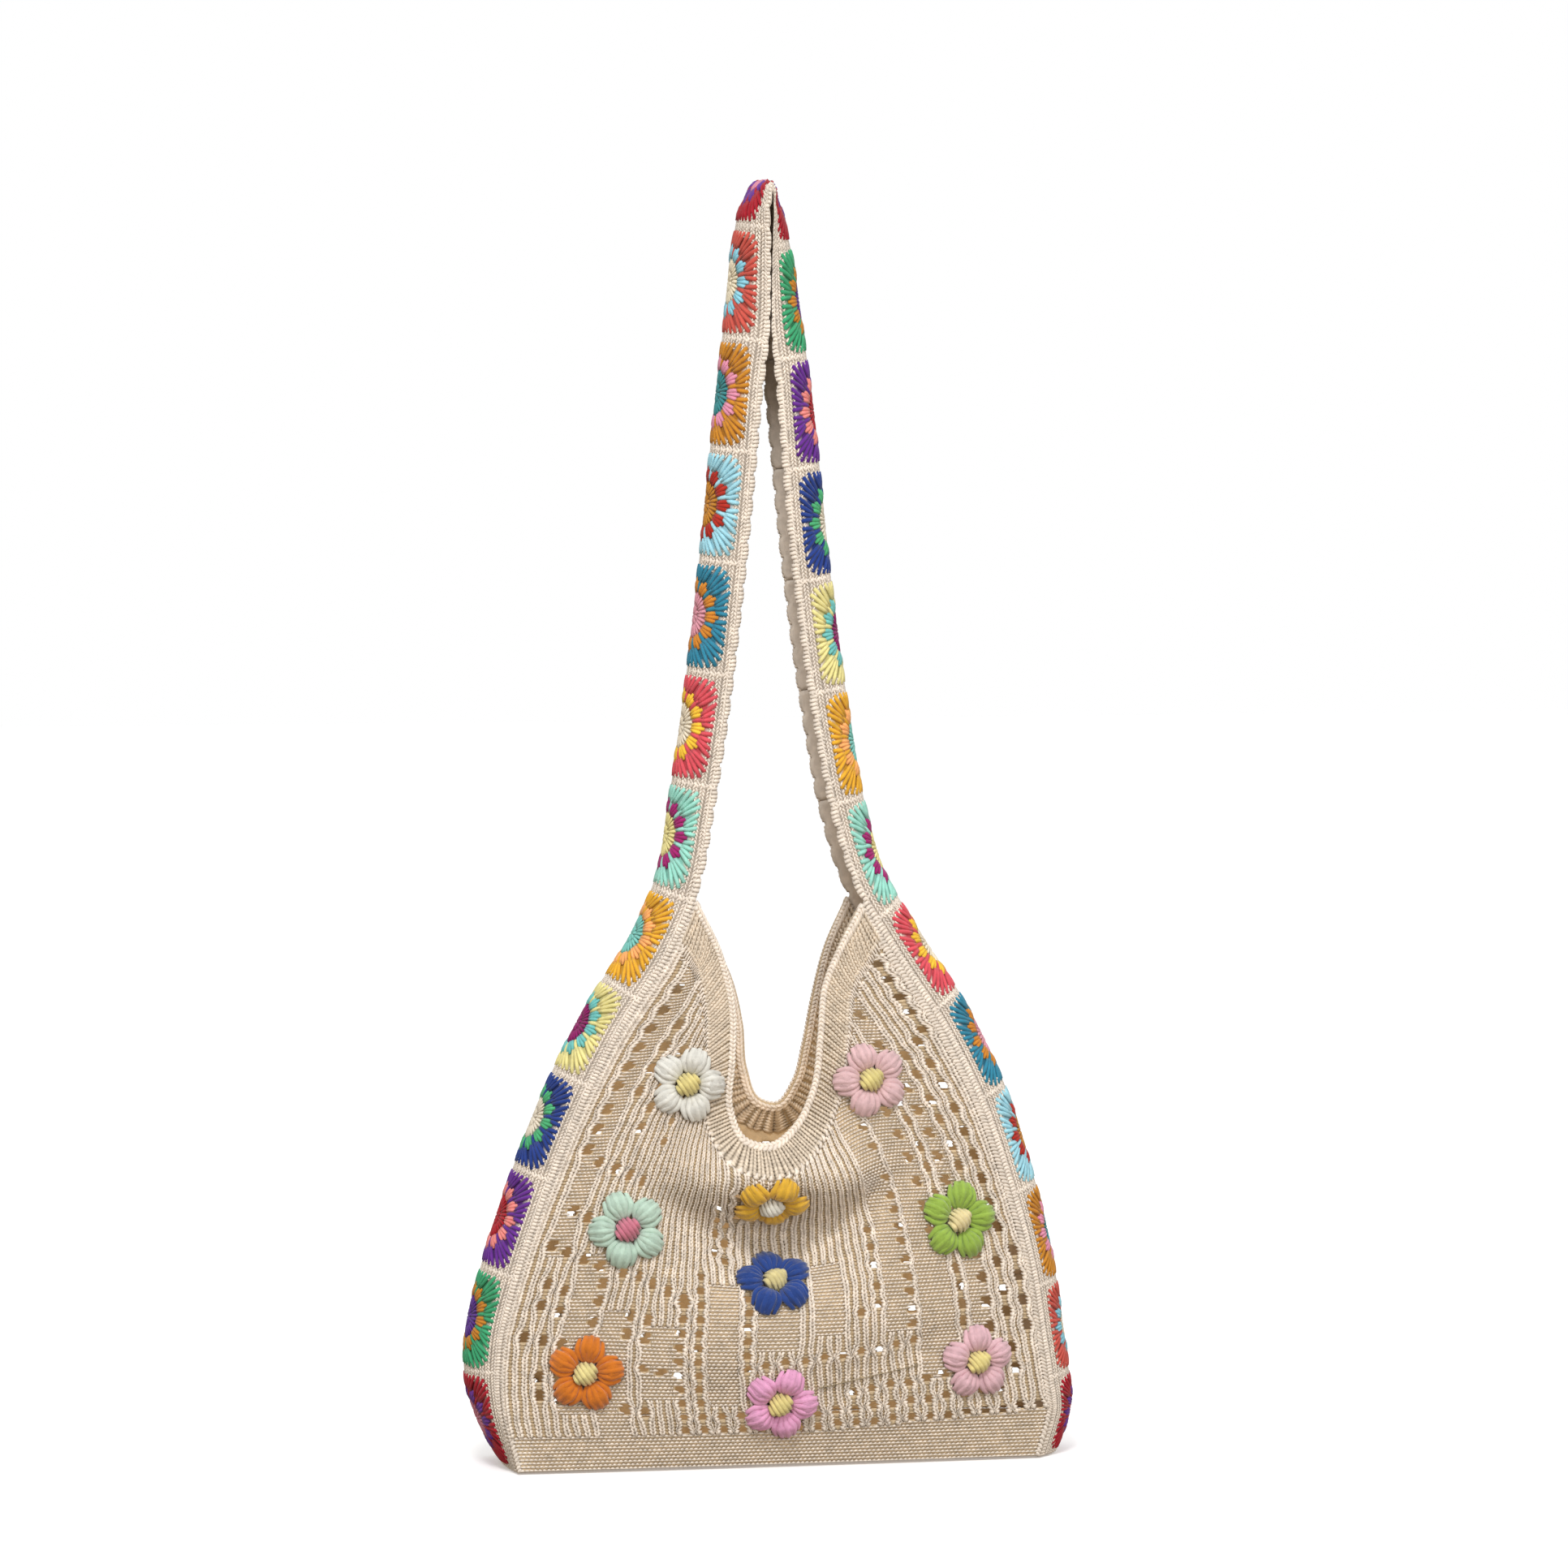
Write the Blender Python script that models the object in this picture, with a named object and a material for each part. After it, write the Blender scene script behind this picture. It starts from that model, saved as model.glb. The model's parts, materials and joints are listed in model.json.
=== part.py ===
"""Crochet shoulder bag, hung by its strap, in metres with +Z up.

A front and a back panel of openwork knitting stand on a plain knitted base. One long band of
crocheted squares is the side of the bag at both ends and, between them, the shoulder strap.
The neck of each panel has a ribbed band, and puff-stitch flowers are sewn on the front.
The front faces -Y. The origin is under the strap at its highest point, where a hook holds it.
"""

import math

import bmesh
import bpy
import numpy as np
from mathutils import Vector
from mathutils.bvhtree import BVHTree

# Overall sizes of the hanging bag, outside to outside.
BAG_WIDTH = 0.404
BAG_HEIGHT = 0.842

# The band of squares: its width laid flat, its wall, and how it is divided.
BAND_WIDTH = 0.082
BAND_WALL = 0.003
SQUARE_COUNT = 25
SCALLOPS_PER_SQUARE = 5
SCALLOP_DEPTH = 0.0024
STRAP_START = 0.4525  # height of the strap's foot, as a share of BAG_HEIGHT

# The knitted pieces.
PANEL_WALL = 0.0025
NECKBAND_WALL = 0.0032
NECKBAND_WIDTH = 0.020
CORNER_REACH = 1.25  # length of the neckband's end along the seam, as a share of NECKBAND_WIDTH
NECK_CROWDING = 0.45  # spacing of a panel's columns at the middle of the neck, as a share of the average
BASE_RISE = 0.022  # how far the base turns up the front and the back
BASE_CREASE = 0.0006  # how far above the floor line its turned-up walls begin
BASE_LINES = 13  # points along a wall of the base
FRONT_NECK_HEIGHT = 0.213
BACK_NECK_HEIGHT = 0.231
EYELET_WIDTH = 0.0075
EYELET_HEIGHT = 0.0070

# The puff-stitch flowers.
FLOWER_RADIUS = 0.0255
FLOWER_HEIGHT = 0.0105
CENTRE_RADIUS = 0.0088
CENTRE_HEIGHT = 0.0125
PETALS = 5
FLOWER_BRIDGE = 0.0045  # how wide a dip of the cloth a flower spans without sinking into it

# Clearances: at sewn seams, between two squares, round a flower's centre, and under a flower.
SEAM_GAP = 0.0008
SQUARE_GAP = 0.00015
CENTRE_GAP = 0.0005
FLOWER_LIFT = 0.0004

# The band's outline seen from the front, from the base's end up to the top of the strap.
# Each row: distance from the middle to the left and to the right as shares of half BAG_WIDTH, height as
# a share of BAG_HEIGHT, and half the angle, in degrees, that the band curls through on the left and right.
BAND_OUTLINE = (
    (0.865, 0.975, 0.0000, 14, 54),
    (0.947, 1.025, 0.0355, 40, 60),
    (0.985, 1.015, 0.0672, 58, 64),
    (0.985, 0.997, 0.0989, 64, 66),
    (0.923, 0.955, 0.1623, 68, 68),
    (0.835, 0.888, 0.2258, 74, 74),
    (0.730, 0.802, 0.2892, 79, 80),
    (0.598, 0.675, 0.3526, 82, 86),
    (0.432, 0.506, 0.4160, 85, 88),
    (0.352, 0.398, 0.4604, 87, 89),
    (0.316, 0.335, 0.5112, 98, 98),
    (0.276, 0.287, 0.5746, 106, 106),
    (0.212, 0.214, 0.7014, 110, 110),
    (0.158, 0.158, 0.8283, 98, 98),
    (0.127, 0.121, 0.8917, 76, 76),
    (0.096, 0.079, 0.9551, 45, 45),
    (0.071, 0.053, 0.9805, 24, 24),
    (0.000, 0.000, 1.0000, 8, 8),
)

# How far the squares stretch or crumple as the bag hangs. Each row: share of the way along the band,
# length of a square there as a share of the average.
SQUARE_STRETCH = (
    (0.00, 0.98),
    (0.22, 0.96),
    (0.28, 1.03),
    (0.47, 1.03),
    (0.50, 1.18),
    (0.53, 1.03),
    (0.74, 1.03),
    (0.86, 0.98),
    (0.93, 0.90),
    (1.00, 0.74),
)

# The necklines. Each row: place between the left corner, -1, and the right one, 1, and height between
# the lowest point, 0, and the corners, 1.
FRONT_NECKLINE = (
    (-1.00, 1.00),
    (-0.70, 0.78),
    (-0.56, 0.56),
    (-0.57, 0.34),
    (-0.60, 0.14),
    (-0.44, 0.02),
    (-0.16, 0.00),
    (0.14, 0.07),
    (0.36, 0.22),
    (0.45, 0.44),
    (0.52, 0.66),
    (0.72, 0.82),
    (1.00, 1.00),
)
BACK_NECKLINE = (
    (-1.00, 1.00),
    (-0.66, 0.80),
    (-0.40, 0.60),
    (-0.26, 0.38),
    (-0.20, 0.16),
    (-0.04, 0.02),
    (0.16, 0.00),
    (0.36, 0.10),
    (0.48, 0.28),
    (0.58, 0.50),
    (0.74, 0.76),
    (1.00, 1.00),
)

# How far a panel stands out from its seams. Each row: share of the way up to the neckband, 1, and across
# it to the neckline, 2; share of BAND_WIDTH.
PANEL_FULLNESS = (
    (0.00, 0.02),
    (0.10, 0.16),
    (0.25, 0.26),
    (0.45, 0.30),
    (0.70, 0.27),
    (1.00, 0.24),
    (2.00, 0.10),
)

# Folds and dents. Each row: place across as a share of half BAG_WIDTH, height as a share of
# BAG_HEIGHT, spread along and across the fold as shares of BAG_WIDTH, the fold's tilt in degrees,
# and how far it pushes the panel out, as a share of BAND_WIDTH.
FRONT_FOLDS = (
    (-0.02, 0.228, 0.130, 0.046, 0, 0.27),
    (-0.02, 0.174, 0.110, 0.058, 0, -0.34),
    (0.28, 0.200, 0.085, 0.034, 42, -0.15),
    (-0.30, 0.200, 0.075, 0.034, -38, -0.09),
    (0.02, 0.100, 0.240, 0.090, 4, 0.09),
    (0.21, 0.285, 0.095, 0.028, 80, -0.10),
    (-0.27, 0.285, 0.080, 0.030, -76, -0.07),
    (0.45, 0.090, 0.120, 0.030, 14, -0.05),
    (-0.55, 0.110, 0.090, 0.045, 70, -0.04),
    (0.62, 0.210, 0.110, 0.040, -66, -0.05),
)
BACK_FOLDS = (
    (0.05, 0.190, 0.130, 0.045, 0, -0.08),
    (-0.35, 0.235, 0.100, 0.045, -55, -0.06),
    (0.40, 0.235, 0.100, 0.045, 55, -0.06),
    (0.00, 0.100, 0.220, 0.080, 0, 0.05),
)

# Where the knit is pierced right through: columns as shares of half a panel's width, and rows as
# shares of the way up each column.
EYELET_COLUMNS = (-0.86, -0.64, -0.40, -0.16, 0.16, 0.40, 0.64, 0.86)
EYELET_ROWS = (0.10, 0.26, 0.42, 0.58, 0.74, 0.90)

# The flowers. Each row: name, place across as a share of half BAG_WIDTH, height as a share of
# BAG_HEIGHT, turn in degrees, size as a share of FLOWER_RADIUS, petals' and centre's colour.
FLOWERS = (
    ("white", -0.284, 0.300, 1, 0.98, "F0EEE2", "E8D98A"),
    ("pink", 0.315, 0.301, 33, 0.98, "E6B0B4", "EBD98C"),
    ("mint", -0.487, 0.189, 32, 1.02, "B4DCC2", "D98CA0"),
    ("yellow", -0.021, 0.210, 4, 1.00, "E3AD3C", "F0EDE0"),
    ("green", 0.603, 0.189, 64, 1.04, "86B83F", "EBD79A"),
    ("blue", -0.008, 0.145, 42, 1.00, "2F4F9A", "EADB9C"),
    ("orange", -0.622, 0.0775, 64, 1.00, "DE7F2A", "EBDD94"),
    ("rose", 0.007, 0.052, 2, 1.00, "F0A2CC", "EBD98C"),
    ("blush", 0.667, 0.078, 52, 0.98, "E8B8BE", "EBD98C"),
)

# The rings of a flower's centre, from the cloth up. Each row: share of CENTRE_RADIUS, of CENTRE_HEIGHT.
CENTRE_DOME = (
    (1.00, 0.00),
    (1.00, 0.45),
    (0.72, 0.86),
)

# The squares' ring colours, in the order in which they repeat along the band.
SQUARE_COLOURS = (
    "A3202C",
    "4FA377",
    "6B3391",
    "2B4A8C",
    "E3DF9B",
    "F0AD4E",
    "93D3C8",
    "D9555E",
    "3F8FA8",
    "A9DCE6",
    "C8862E",
    "C96A50",
)
CREAM = "D9CDB7"
COTTON_ROUGHNESS = 0.92

HANG_HEIGHT = BAG_HEIGHT - BAND_WALL  # height of the origin above the base
HALF_BAND = BAND_WIDTH / 2
FRONT, BACK = -1, 1


def smoothstep(share):
    """0 below 0, 1 above 1, and an S-curve between."""
    share = np.clip(share, 0, 1)
    return share * share * (3 - 2 * share)


def curve_through(knots, values, at):
    """A cubic curve through the values at the knots, its slope at each knot taken from both neighbours."""
    slopes = np.gradient(values, knots, axis=0)
    i = np.clip(np.searchsorted(knots, at) - 1, 0, len(knots) - 2)
    step = (knots[i + 1] - knots[i])[:, None]
    t = ((at - knots[i]) / (knots[i + 1] - knots[i]))[:, None]
    start = values[i] * (1 + 2 * t) * (1 - t) ** 2 + slopes[i] * step * t * (1 - t) ** 2
    end = values[i + 1] * t * t * (3 - 2 * t) + slopes[i + 1] * step * t * t * (t - 1)
    return start + end


def chord_lengths(points):
    """Distance along a line of points, from its first point."""
    steps = np.linalg.norm(np.diff(points, axis=0), axis=1)
    return np.concatenate([[0], np.cumsum(steps)])


def evenly_along(points, count):
    """The smooth curve through these points, as count points at even distances."""
    knots = chord_lengths(points[:, :2])
    fine = curve_through(knots, points, np.linspace(0, knots[-1], 40 * count))
    along = chord_lengths(fine[:, :2])
    even = np.linspace(0, along[-1], count)
    return even, np.stack([np.interp(even, along, column) for column in fine.T], axis=1)


# The band


def band_line():
    """The band's middle line: distance along it, points (x, z), outward normals and half curl angles."""
    rows = np.array(BAND_OUTLINE, float)
    sizes = [BAG_WIDTH / 2, BAG_HEIGHT, 1]
    left = rows[:, [0, 2, 3]] * sizes * [-1, 1, 1]
    right = rows[-2::-1, [1, 2, 4]] * sizes
    along, line = evenly_along(np.concatenate([left, right]), 2001)
    heading = np.gradient(line[:, :2], along, axis=0)
    outward = np.stack([-heading[:, 1], heading[:, 0]], axis=1)
    level = np.stack([np.sign(line[:, 0]), np.zeros(len(line))], axis=1)
    free = smoothstep(np.minimum(along, along[-1] - along) / HALF_BAND)[:, None]
    outward = outward * free + level * (1 - free)
    outward /= np.linalg.norm(outward, axis=1)[:, None]
    return along, line[:, :2], outward, np.radians(line[:, 2])


BAND_ALONG, BAND_POINTS, BAND_OUTWARD, BAND_CURL = band_line()
BAND_LENGTH = BAND_ALONG[-1]


def square_joints():
    """Distances along the band at which the squares begin and end."""
    rows = np.array(SQUARE_STRETCH)
    middles = (np.arange(SQUARE_COUNT) + 0.5) / SQUARE_COUNT
    ends = np.concatenate([[0], np.cumsum(np.interp(middles, rows[:, 0], rows[:, 1]))])
    return ends / ends[-1] * BAND_LENGTH


SQUARE_JOINTS = square_joints()


def seam_length(end):
    """Length of the seam between a panel and the band, from the base's end up to the strap's foot."""
    top = np.argmax(BAND_POINTS[:, 1])
    half = slice(None, top) if end < 0 else slice(None, top, -1)
    length = np.interp(STRAP_START * BAG_HEIGHT, BAND_POINTS[half, 1], BAND_ALONG[half])
    return float(length if end < 0 else BAND_LENGTH - length)


SEAM_LENGTHS = {end: seam_length(end) for end in (-1, 1)}
SEAM_LENGTH = sum(SEAM_LENGTHS.values()) / 2


def at_band(along, values):
    """Values of the band's table at these distances along it."""
    if values.ndim == 1:
        return np.interp(along, BAND_ALONG, values)
    return np.stack([np.interp(along, BAND_ALONG, v) for v in values.T], axis=-1)


def band_point(along, across, lift=0.0):
    """Points on the band. across runs from -HALF_BAND, the front edge, to HALF_BAND, the back one.

    The section is an arc of constant length: radius = half width / half curl, angle = across / radius.
    lift is the distance outside the outer face.
    """
    curl = at_band(along, BAND_CURL)
    radius = HALF_BAND / curl
    angle = curl * across / HALF_BAND
    middle, outward = at_band(along, BAND_POINTS), at_band(along, BAND_OUTWARD)
    inward = radius * (1 - np.cos(angle)) - lift * np.cos(angle)
    x = middle[..., 0] - outward[..., 0] * inward
    z = middle[..., 1] - outward[..., 1] * inward
    y = (radius + lift) * np.sin(angle)
    return np.stack([x, y, z], axis=-1)


# The panels


def seam_edge(side, end, share):
    """Where a panel's outer face starts at its seam with the band, and the band's normal there.

    end is -1 for the left seam and 1 for the right. share runs from the base, 0, to the strap's foot, 1.
    """
    along = share * SEAM_LENGTHS[end]
    if end > 0:
        along = BAND_LENGTH - along
    curl, outward = at_band(along, BAND_CURL), at_band(along, BAND_OUTWARD)
    edge = band_point(along, side * HALF_BAND)
    gap = SEAM_GAP
    onward = np.stack(
        [-outward[..., 0] * np.sin(curl), side * np.cos(curl), -outward[..., 1] * np.sin(curl)], axis=-1
    )
    normal = np.stack(
        [outward[..., 0] * np.cos(curl), side * np.sin(curl), outward[..., 1] * np.cos(curl)], axis=-1
    )
    return edge + gap * onward, normal


def neckline(side, u):
    """Points (x, z) of a neckline at u, from -1 at the left corner to 1 at the right."""
    rows = np.array(FRONT_NECKLINE if side == FRONT else BACK_NECKLINE, float)
    low = FRONT_NECK_HEIGHT if side == FRONT else BACK_NECK_HEIGHT
    left, right = (seam_edge(side, end, np.ones(1))[0][0] for end in (-1, 1))
    share = (rows[:, 0] + 1) / 2
    x = left[0] * (1 - share) + right[0] * share
    top = left[2] * (1 - share) + right[2] * share
    points = np.stack([x, low + rows[:, 1] * (top - low)], axis=1)
    along, line = evenly_along(points, 401)
    u = np.clip(u, -1, 1)
    share = (1 + NECK_CROWDING * u + (1 - NECK_CROWDING) * u**3) / 2 * along[-1]
    return np.stack([np.interp(share, along, column) for column in line.T], axis=-1)


def below_neckline(side, u, distance):
    """Points (x, z) at this distance below a neckline, square to it but along the seams at its two ends."""
    here = neckline(side, u)
    ahead = neckline(side, u + 0.01) - neckline(side, u - 0.01)
    ahead /= np.linalg.norm(ahead, axis=-1)[..., None]
    away = np.stack([ahead[..., 1], -ahead[..., 0]], axis=-1)
    reach = distance * CORNER_REACH
    share = np.array([1 - reach / SEAM_LENGTH])
    square_to = smoothstep((1 - np.abs(u)) / 0.16)[..., None]
    ends = []
    for end in (-1, 1):
        down, corner = seam_edge(side, end, share)[0][0], seam_edge(side, end, np.ones(1))[0][0]
        ends.append((down - corner)[[0, 2]])
    along_seam = np.where((u < 0)[..., None], ends[0], ends[1])
    return here + distance * away * square_to + along_seam * (1 - square_to)


def fold_push(side, x, z):
    """How far the folds push a panel out at x and z: a sum of tilted bell-shaped ridges and dents."""
    total = np.zeros_like(x)
    for across, height, length, width, tilt, push in FRONT_FOLDS if side == FRONT else BACK_FOLDS:
        dx, dz = x - across * BAG_WIDTH / 2, z - height * BAG_HEIGHT
        c, s = math.cos(math.radians(tilt)), math.sin(math.radians(tilt))
        along, over = dx * c + dz * s, dz * c - dx * s
        bell = np.exp(-((along / (length * BAG_WIDTH)) ** 2) - (over / (width * BAG_WIDTH)) ** 2)
        total += push * BAND_WIDTH * bell
    return total


def seam_share_at(v):
    """How far up the seam a panel's line v ends: the neckband, v from 1 to 2, takes the last of it."""
    below_band = 1 - NECKBAND_WIDTH * CORNER_REACH / SEAM_LENGTH
    return np.interp(v, (0, 1, 2), (0, below_band, 1))


def panel_sheet(side, u, v):
    """Points of a panel's outer face: u across from -1 to 1, v up each column from 0 at the base to 1 at the neckband.

    Seen from the front the sheet fills in between its four edges: the base line, the two seams and the
    neckband's lower edge, each edge fading into the opposite one. Its depth is the seams' depth, plus the
    fullness, which is greatest in the middle, plus the folds, which fade out at the seams and the base.
    Above 1, v runs on across the neckband to the neckline at 2.
    """
    u, v = np.broadcast_arrays(np.asarray(u, float), np.asarray(v, float))
    right = (u + 1) / 2
    rise = np.clip(v, 0, 1)
    band = np.clip(v - 1, 0, 1)
    seam_share = seam_share_at(v)
    left_edge, right_edge = seam_edge(side, -1, seam_share)[0], seam_edge(side, 1, seam_share)[0]
    top = below_neckline(side, u, NECKBAND_WIDTH)
    neck = neckline(side, u)
    head_share = seam_share_at(np.ones(1))
    left_head, right_head = (seam_edge(side, end, head_share)[0][0] for end in (-1, 1))
    left_corner, right_corner = (seam_edge(side, end, np.ones(1))[0][0] for end in (-1, 1))
    plane = []
    for axis, column in ((0, 0), (1, 2)):
        head = left_head[column] * (1 - right) + right_head[column] * right
        sides = left_edge[..., column] * (1 - right) + right_edge[..., column] * right
        panel = sides + rise**1.5 * (top[..., axis] - head)
        strip = top[..., axis] * (1 - band) + neck[..., axis] * band
        seam = np.where(u < 0, left_edge[..., column], right_edge[..., column])
        corner = np.where(u < 0, left_corner[column], right_corner[column])
        chord = np.where(u < 0, left_head[column], right_head[column]) * (1 - band) + corner * band
        strip += (seam - chord) * smoothstep((np.abs(u) - 0.8) / 0.2)
        plane.append(np.where(v > 1, strip, panel))
    x, z = plane
    depth = np.abs(left_edge[..., 1] * (1 - right) + right_edge[..., 1] * right)
    rows = np.array(PANEL_FULLNESS)
    fullness = np.interp(v, rows[:, 0], rows[:, 1]) * BAND_WIDTH
    middle = 1 - np.abs(u) ** 2.4
    fade = smoothstep((1 - np.abs(u)) / 0.22) * smoothstep(v / 0.16)
    depth = depth + fullness * middle + fade * fold_push(side, x, z)
    return np.stack([x, side * depth, z], axis=-1)


def panel_face(side, u, v):
    """Points of a panel's outer face and its outward normals, turned to the band's normals at the seams."""
    u, v = np.broadcast_arrays(np.asarray(u, float), np.asarray(v, float))
    small = 2e-3
    u0, u1 = np.clip(u - small, -1, 1), np.clip(u + small, -1, 1)
    v0, v1 = np.clip(v - small, 0, 2), np.clip(v + small, 0, 2)
    across = panel_sheet(side, u1, v) - panel_sheet(side, u0, v)
    up = panel_sheet(side, u, v1) - panel_sheet(side, u, v0)
    normal = np.cross(across, up) * -side
    normal /= np.linalg.norm(normal, axis=-1)[..., None]
    share = seam_share_at(v)
    seam = np.where((u < 0)[..., None], seam_edge(side, -1, share)[1], seam_edge(side, 1, share)[1])
    own = smoothstep((1 - np.abs(u)) / 0.12)[..., None]
    normal = normal * own + seam * (1 - own)
    normal /= np.linalg.norm(normal, axis=-1)[..., None]
    return panel_sheet(side, u, v), normal


def rise_of(side, u_lines, distance):
    """v at which each column u has run this distance from the base."""
    v = np.linspace(0, 1, 241)
    columns = panel_sheet(side, np.array(u_lines)[:, None], v[None, :])
    return np.array([np.interp(distance, chord_lengths(column), v) for column in columns])


# Making meshes


def grid_cells(columns, rows, gaps=None):
    """The corners of each cell of a grid of points [column, row] that isn't a gap."""
    cells = []
    for i in range(columns - 1):
        for j in range(rows - 1):
            if gaps is None or not gaps[i, j]:
                first = i * rows + j
                cells.append([first, first + rows, first + rows + 1, first + 1])
    return cells


def wall_mesh(outer, inner, cells):
    """A closed wall between two skins of points, with the same cells in each and a rim round every edge and gap.

    Both skins split each cell into the same fan of triangles, so that they stay apart where the wall twists.
    """
    mesh = bmesh.new()
    skins = [[mesh.verts.new(point) for point in skin.reshape(-1, 3)] for skin in (outer, inner)]
    edges = {}
    for cell in cells:
        for fan in zip(cell[1:], cell[2:]):
            corners = (cell[0], *fan)
            mesh.faces.new([skins[0][i] for i in corners])
            mesh.faces.new([skins[1][i] for i in reversed(corners)])
        edges.update(dict.fromkeys(zip(cell, cell[1:] + cell[:1])))
    for a, b in edges:
        if (b, a) not in edges:
            mesh.faces.new((skins[0][b], skins[0][a], skins[1][a], skins[1][b]))
    bmesh.ops.delete(mesh, geom=[v for v in mesh.verts if not v.link_faces], context="VERTS")
    return mesh


def colour_of(hex_code):
    """sRGB hex colour as linear red, green, blue and alpha."""
    values = [int(hex_code[i : i + 2], 16) / 255 for i in (0, 2, 4)]
    return [v / 12.92 if v <= 0.04045 else ((v + 0.055) / 1.055) ** 2.4 for v in values] + [1.0]


def finish_object(name, mesh, hex_code):
    """Turns a bmesh in heights above the base into an object in the bag's frame, with its cotton material."""
    bmesh.ops.recalc_face_normals(mesh, faces=mesh.faces)
    for vertex in mesh.verts:
        vertex.co.z -= HANG_HEIGHT
    data = bpy.data.meshes.new(name)
    mesh.to_mesh(data)
    mesh.free()
    data.shade_smooth()
    data.set_sharp_from_angle(angle=math.radians(40))
    material = bpy.data.materials.new(name)
    material.use_nodes = True
    shader = material.node_tree.nodes["Principled BSDF"]
    shader.inputs["Base Color"].default_value = colour_of(hex_code)
    shader.inputs["Roughness"].default_value = COTTON_ROUGHNESS
    data.materials.append(material)
    made = bpy.data.objects.new(name, data)
    bpy.context.scene.collection.objects.link(made)
    return made


# The pieces


def make_square(number):
    """One crocheted square with its cream border. Above the panels its edges are scalloped."""
    start, end = SQUARE_JOINTS[number : number + 2]
    lowest = SEAM_LENGTHS[-1] + SEAM_GAP
    highest = BAND_LENGTH - SEAM_LENGTHS[1] - SEAM_GAP
    scalloped = end > lowest and start < highest
    last = number in (0, SQUARE_COUNT - 1)
    steps = SCALLOPS_PER_SQUARE if scalloped else 6 if last else 4
    along = np.linspace(start + SQUARE_GAP, end - SQUARE_GAP, steps + 1)
    notch = SCALLOP_DEPTH * ((along > lowest) & (along < highest))
    across = np.linspace(-1, 1, 7)[None, :] * (HALF_BAND - notch)[:, None]
    cells = grid_cells(steps + 1, 7)
    along = np.repeat(along, 7)
    across = across.reshape(-1)
    if scalloped:
        middles = (along[:-7:7] + along[7::7]) / 2
        for row, edge in ((0, -1), (6, 1)):
            for step, middle in enumerate(middles):
                beside = step * 7 + row
                cell = next(c for c in cells if beside in c and beside + 7 in c)
                place = (cell.index(beside), cell.index(beside + 7))
                cell.insert(max(place) if abs(place[0] - place[1]) == 1 else 4, len(along))
                along = np.append(along, middle)
                across = np.append(across, edge * HALF_BAND)
    outer = band_point(along, across)
    inner = band_point(along, across, -BAND_WALL)
    colour = SQUARE_COLOURS[number % len(SQUARE_COLOURS)]
    return finish_object(f"square_{number + 1:02d}", wall_mesh(outer, inner, cells), colour)


def cells_with_gaps(centres, width, lowest, highest, parts):
    """Lines from lowest to highest that leave a cell of this width round each centre, with each strip between
    two such cells in parts. Returns the lines and which cells are gaps.
    """
    edges = [lowest]
    for centre in centres:
        edges += [centre - width / 2, centre + width / 2]
    edges.append(highest)
    lines, gaps = [], []
    for k in range(len(edges) - 1):
        outermost = k in (0, len(edges) - 2)
        pieces = 1 if k % 2 or outermost else parts
        lines += list(np.linspace(edges[k], edges[k + 1], pieces + 1)[:-1])
        gaps += [bool(k % 2)] * pieces
    return np.array(lines + [highest]), np.array(gaps)


def panel_lines(side):
    """The lines u on which a panel and its neckband have their points, and which cells between them are eyelets."""
    half_width = seam_edge(side, 1, np.zeros(1))[0][0][0]
    return cells_with_gaps(EYELET_COLUMNS, EYELET_WIDTH / half_width, -1, 1, 2)


def make_panel(side, name):
    """An openwork panel, from the top of the base's turned-up wall to the foot of the neckband."""
    u_lines, u_gaps = panel_lines(side)
    low = rise_of(side, u_lines, BASE_RISE + SEAM_GAP)
    shortest = FRONT_NECK_HEIGHT if side == FRONT else BACK_NECK_HEIGHT
    rows, row_gaps = cells_with_gaps(EYELET_ROWS, EYELET_HEIGHT / shortest, 0, 1, 2)
    v = low[:, None] + (1 - low)[:, None] * rows[None, :]
    points, normals = panel_face(side, u_lines[:, None], v)
    cells = grid_cells(len(u_lines), len(rows), np.outer(u_gaps, row_gaps))
    return finish_object(name, wall_mesh(points, points - PANEL_WALL * normals, cells), CREAM)


def make_neckband(side, name):
    """The ribbed band along a panel's neck, a little thicker than the panel and centred on it."""
    u_lines, _ = panel_lines(side)
    v = 1 + np.array([SEAM_GAP / NECKBAND_WIDTH, 0.5, 1])
    points, _ = panel_face(side, u_lines[:, None], v)
    _, normals = panel_face(side, u_lines[:, None], np.array([1, 1.5, 2]))
    proud = (NECKBAND_WALL - PANEL_WALL) / 2
    outer, inner = points + proud * normals, points - (NECKBAND_WALL - proud) * normals
    return finish_object(name, wall_mesh(outer, inner, grid_cells(len(u_lines), 3)), CREAM)


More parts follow.
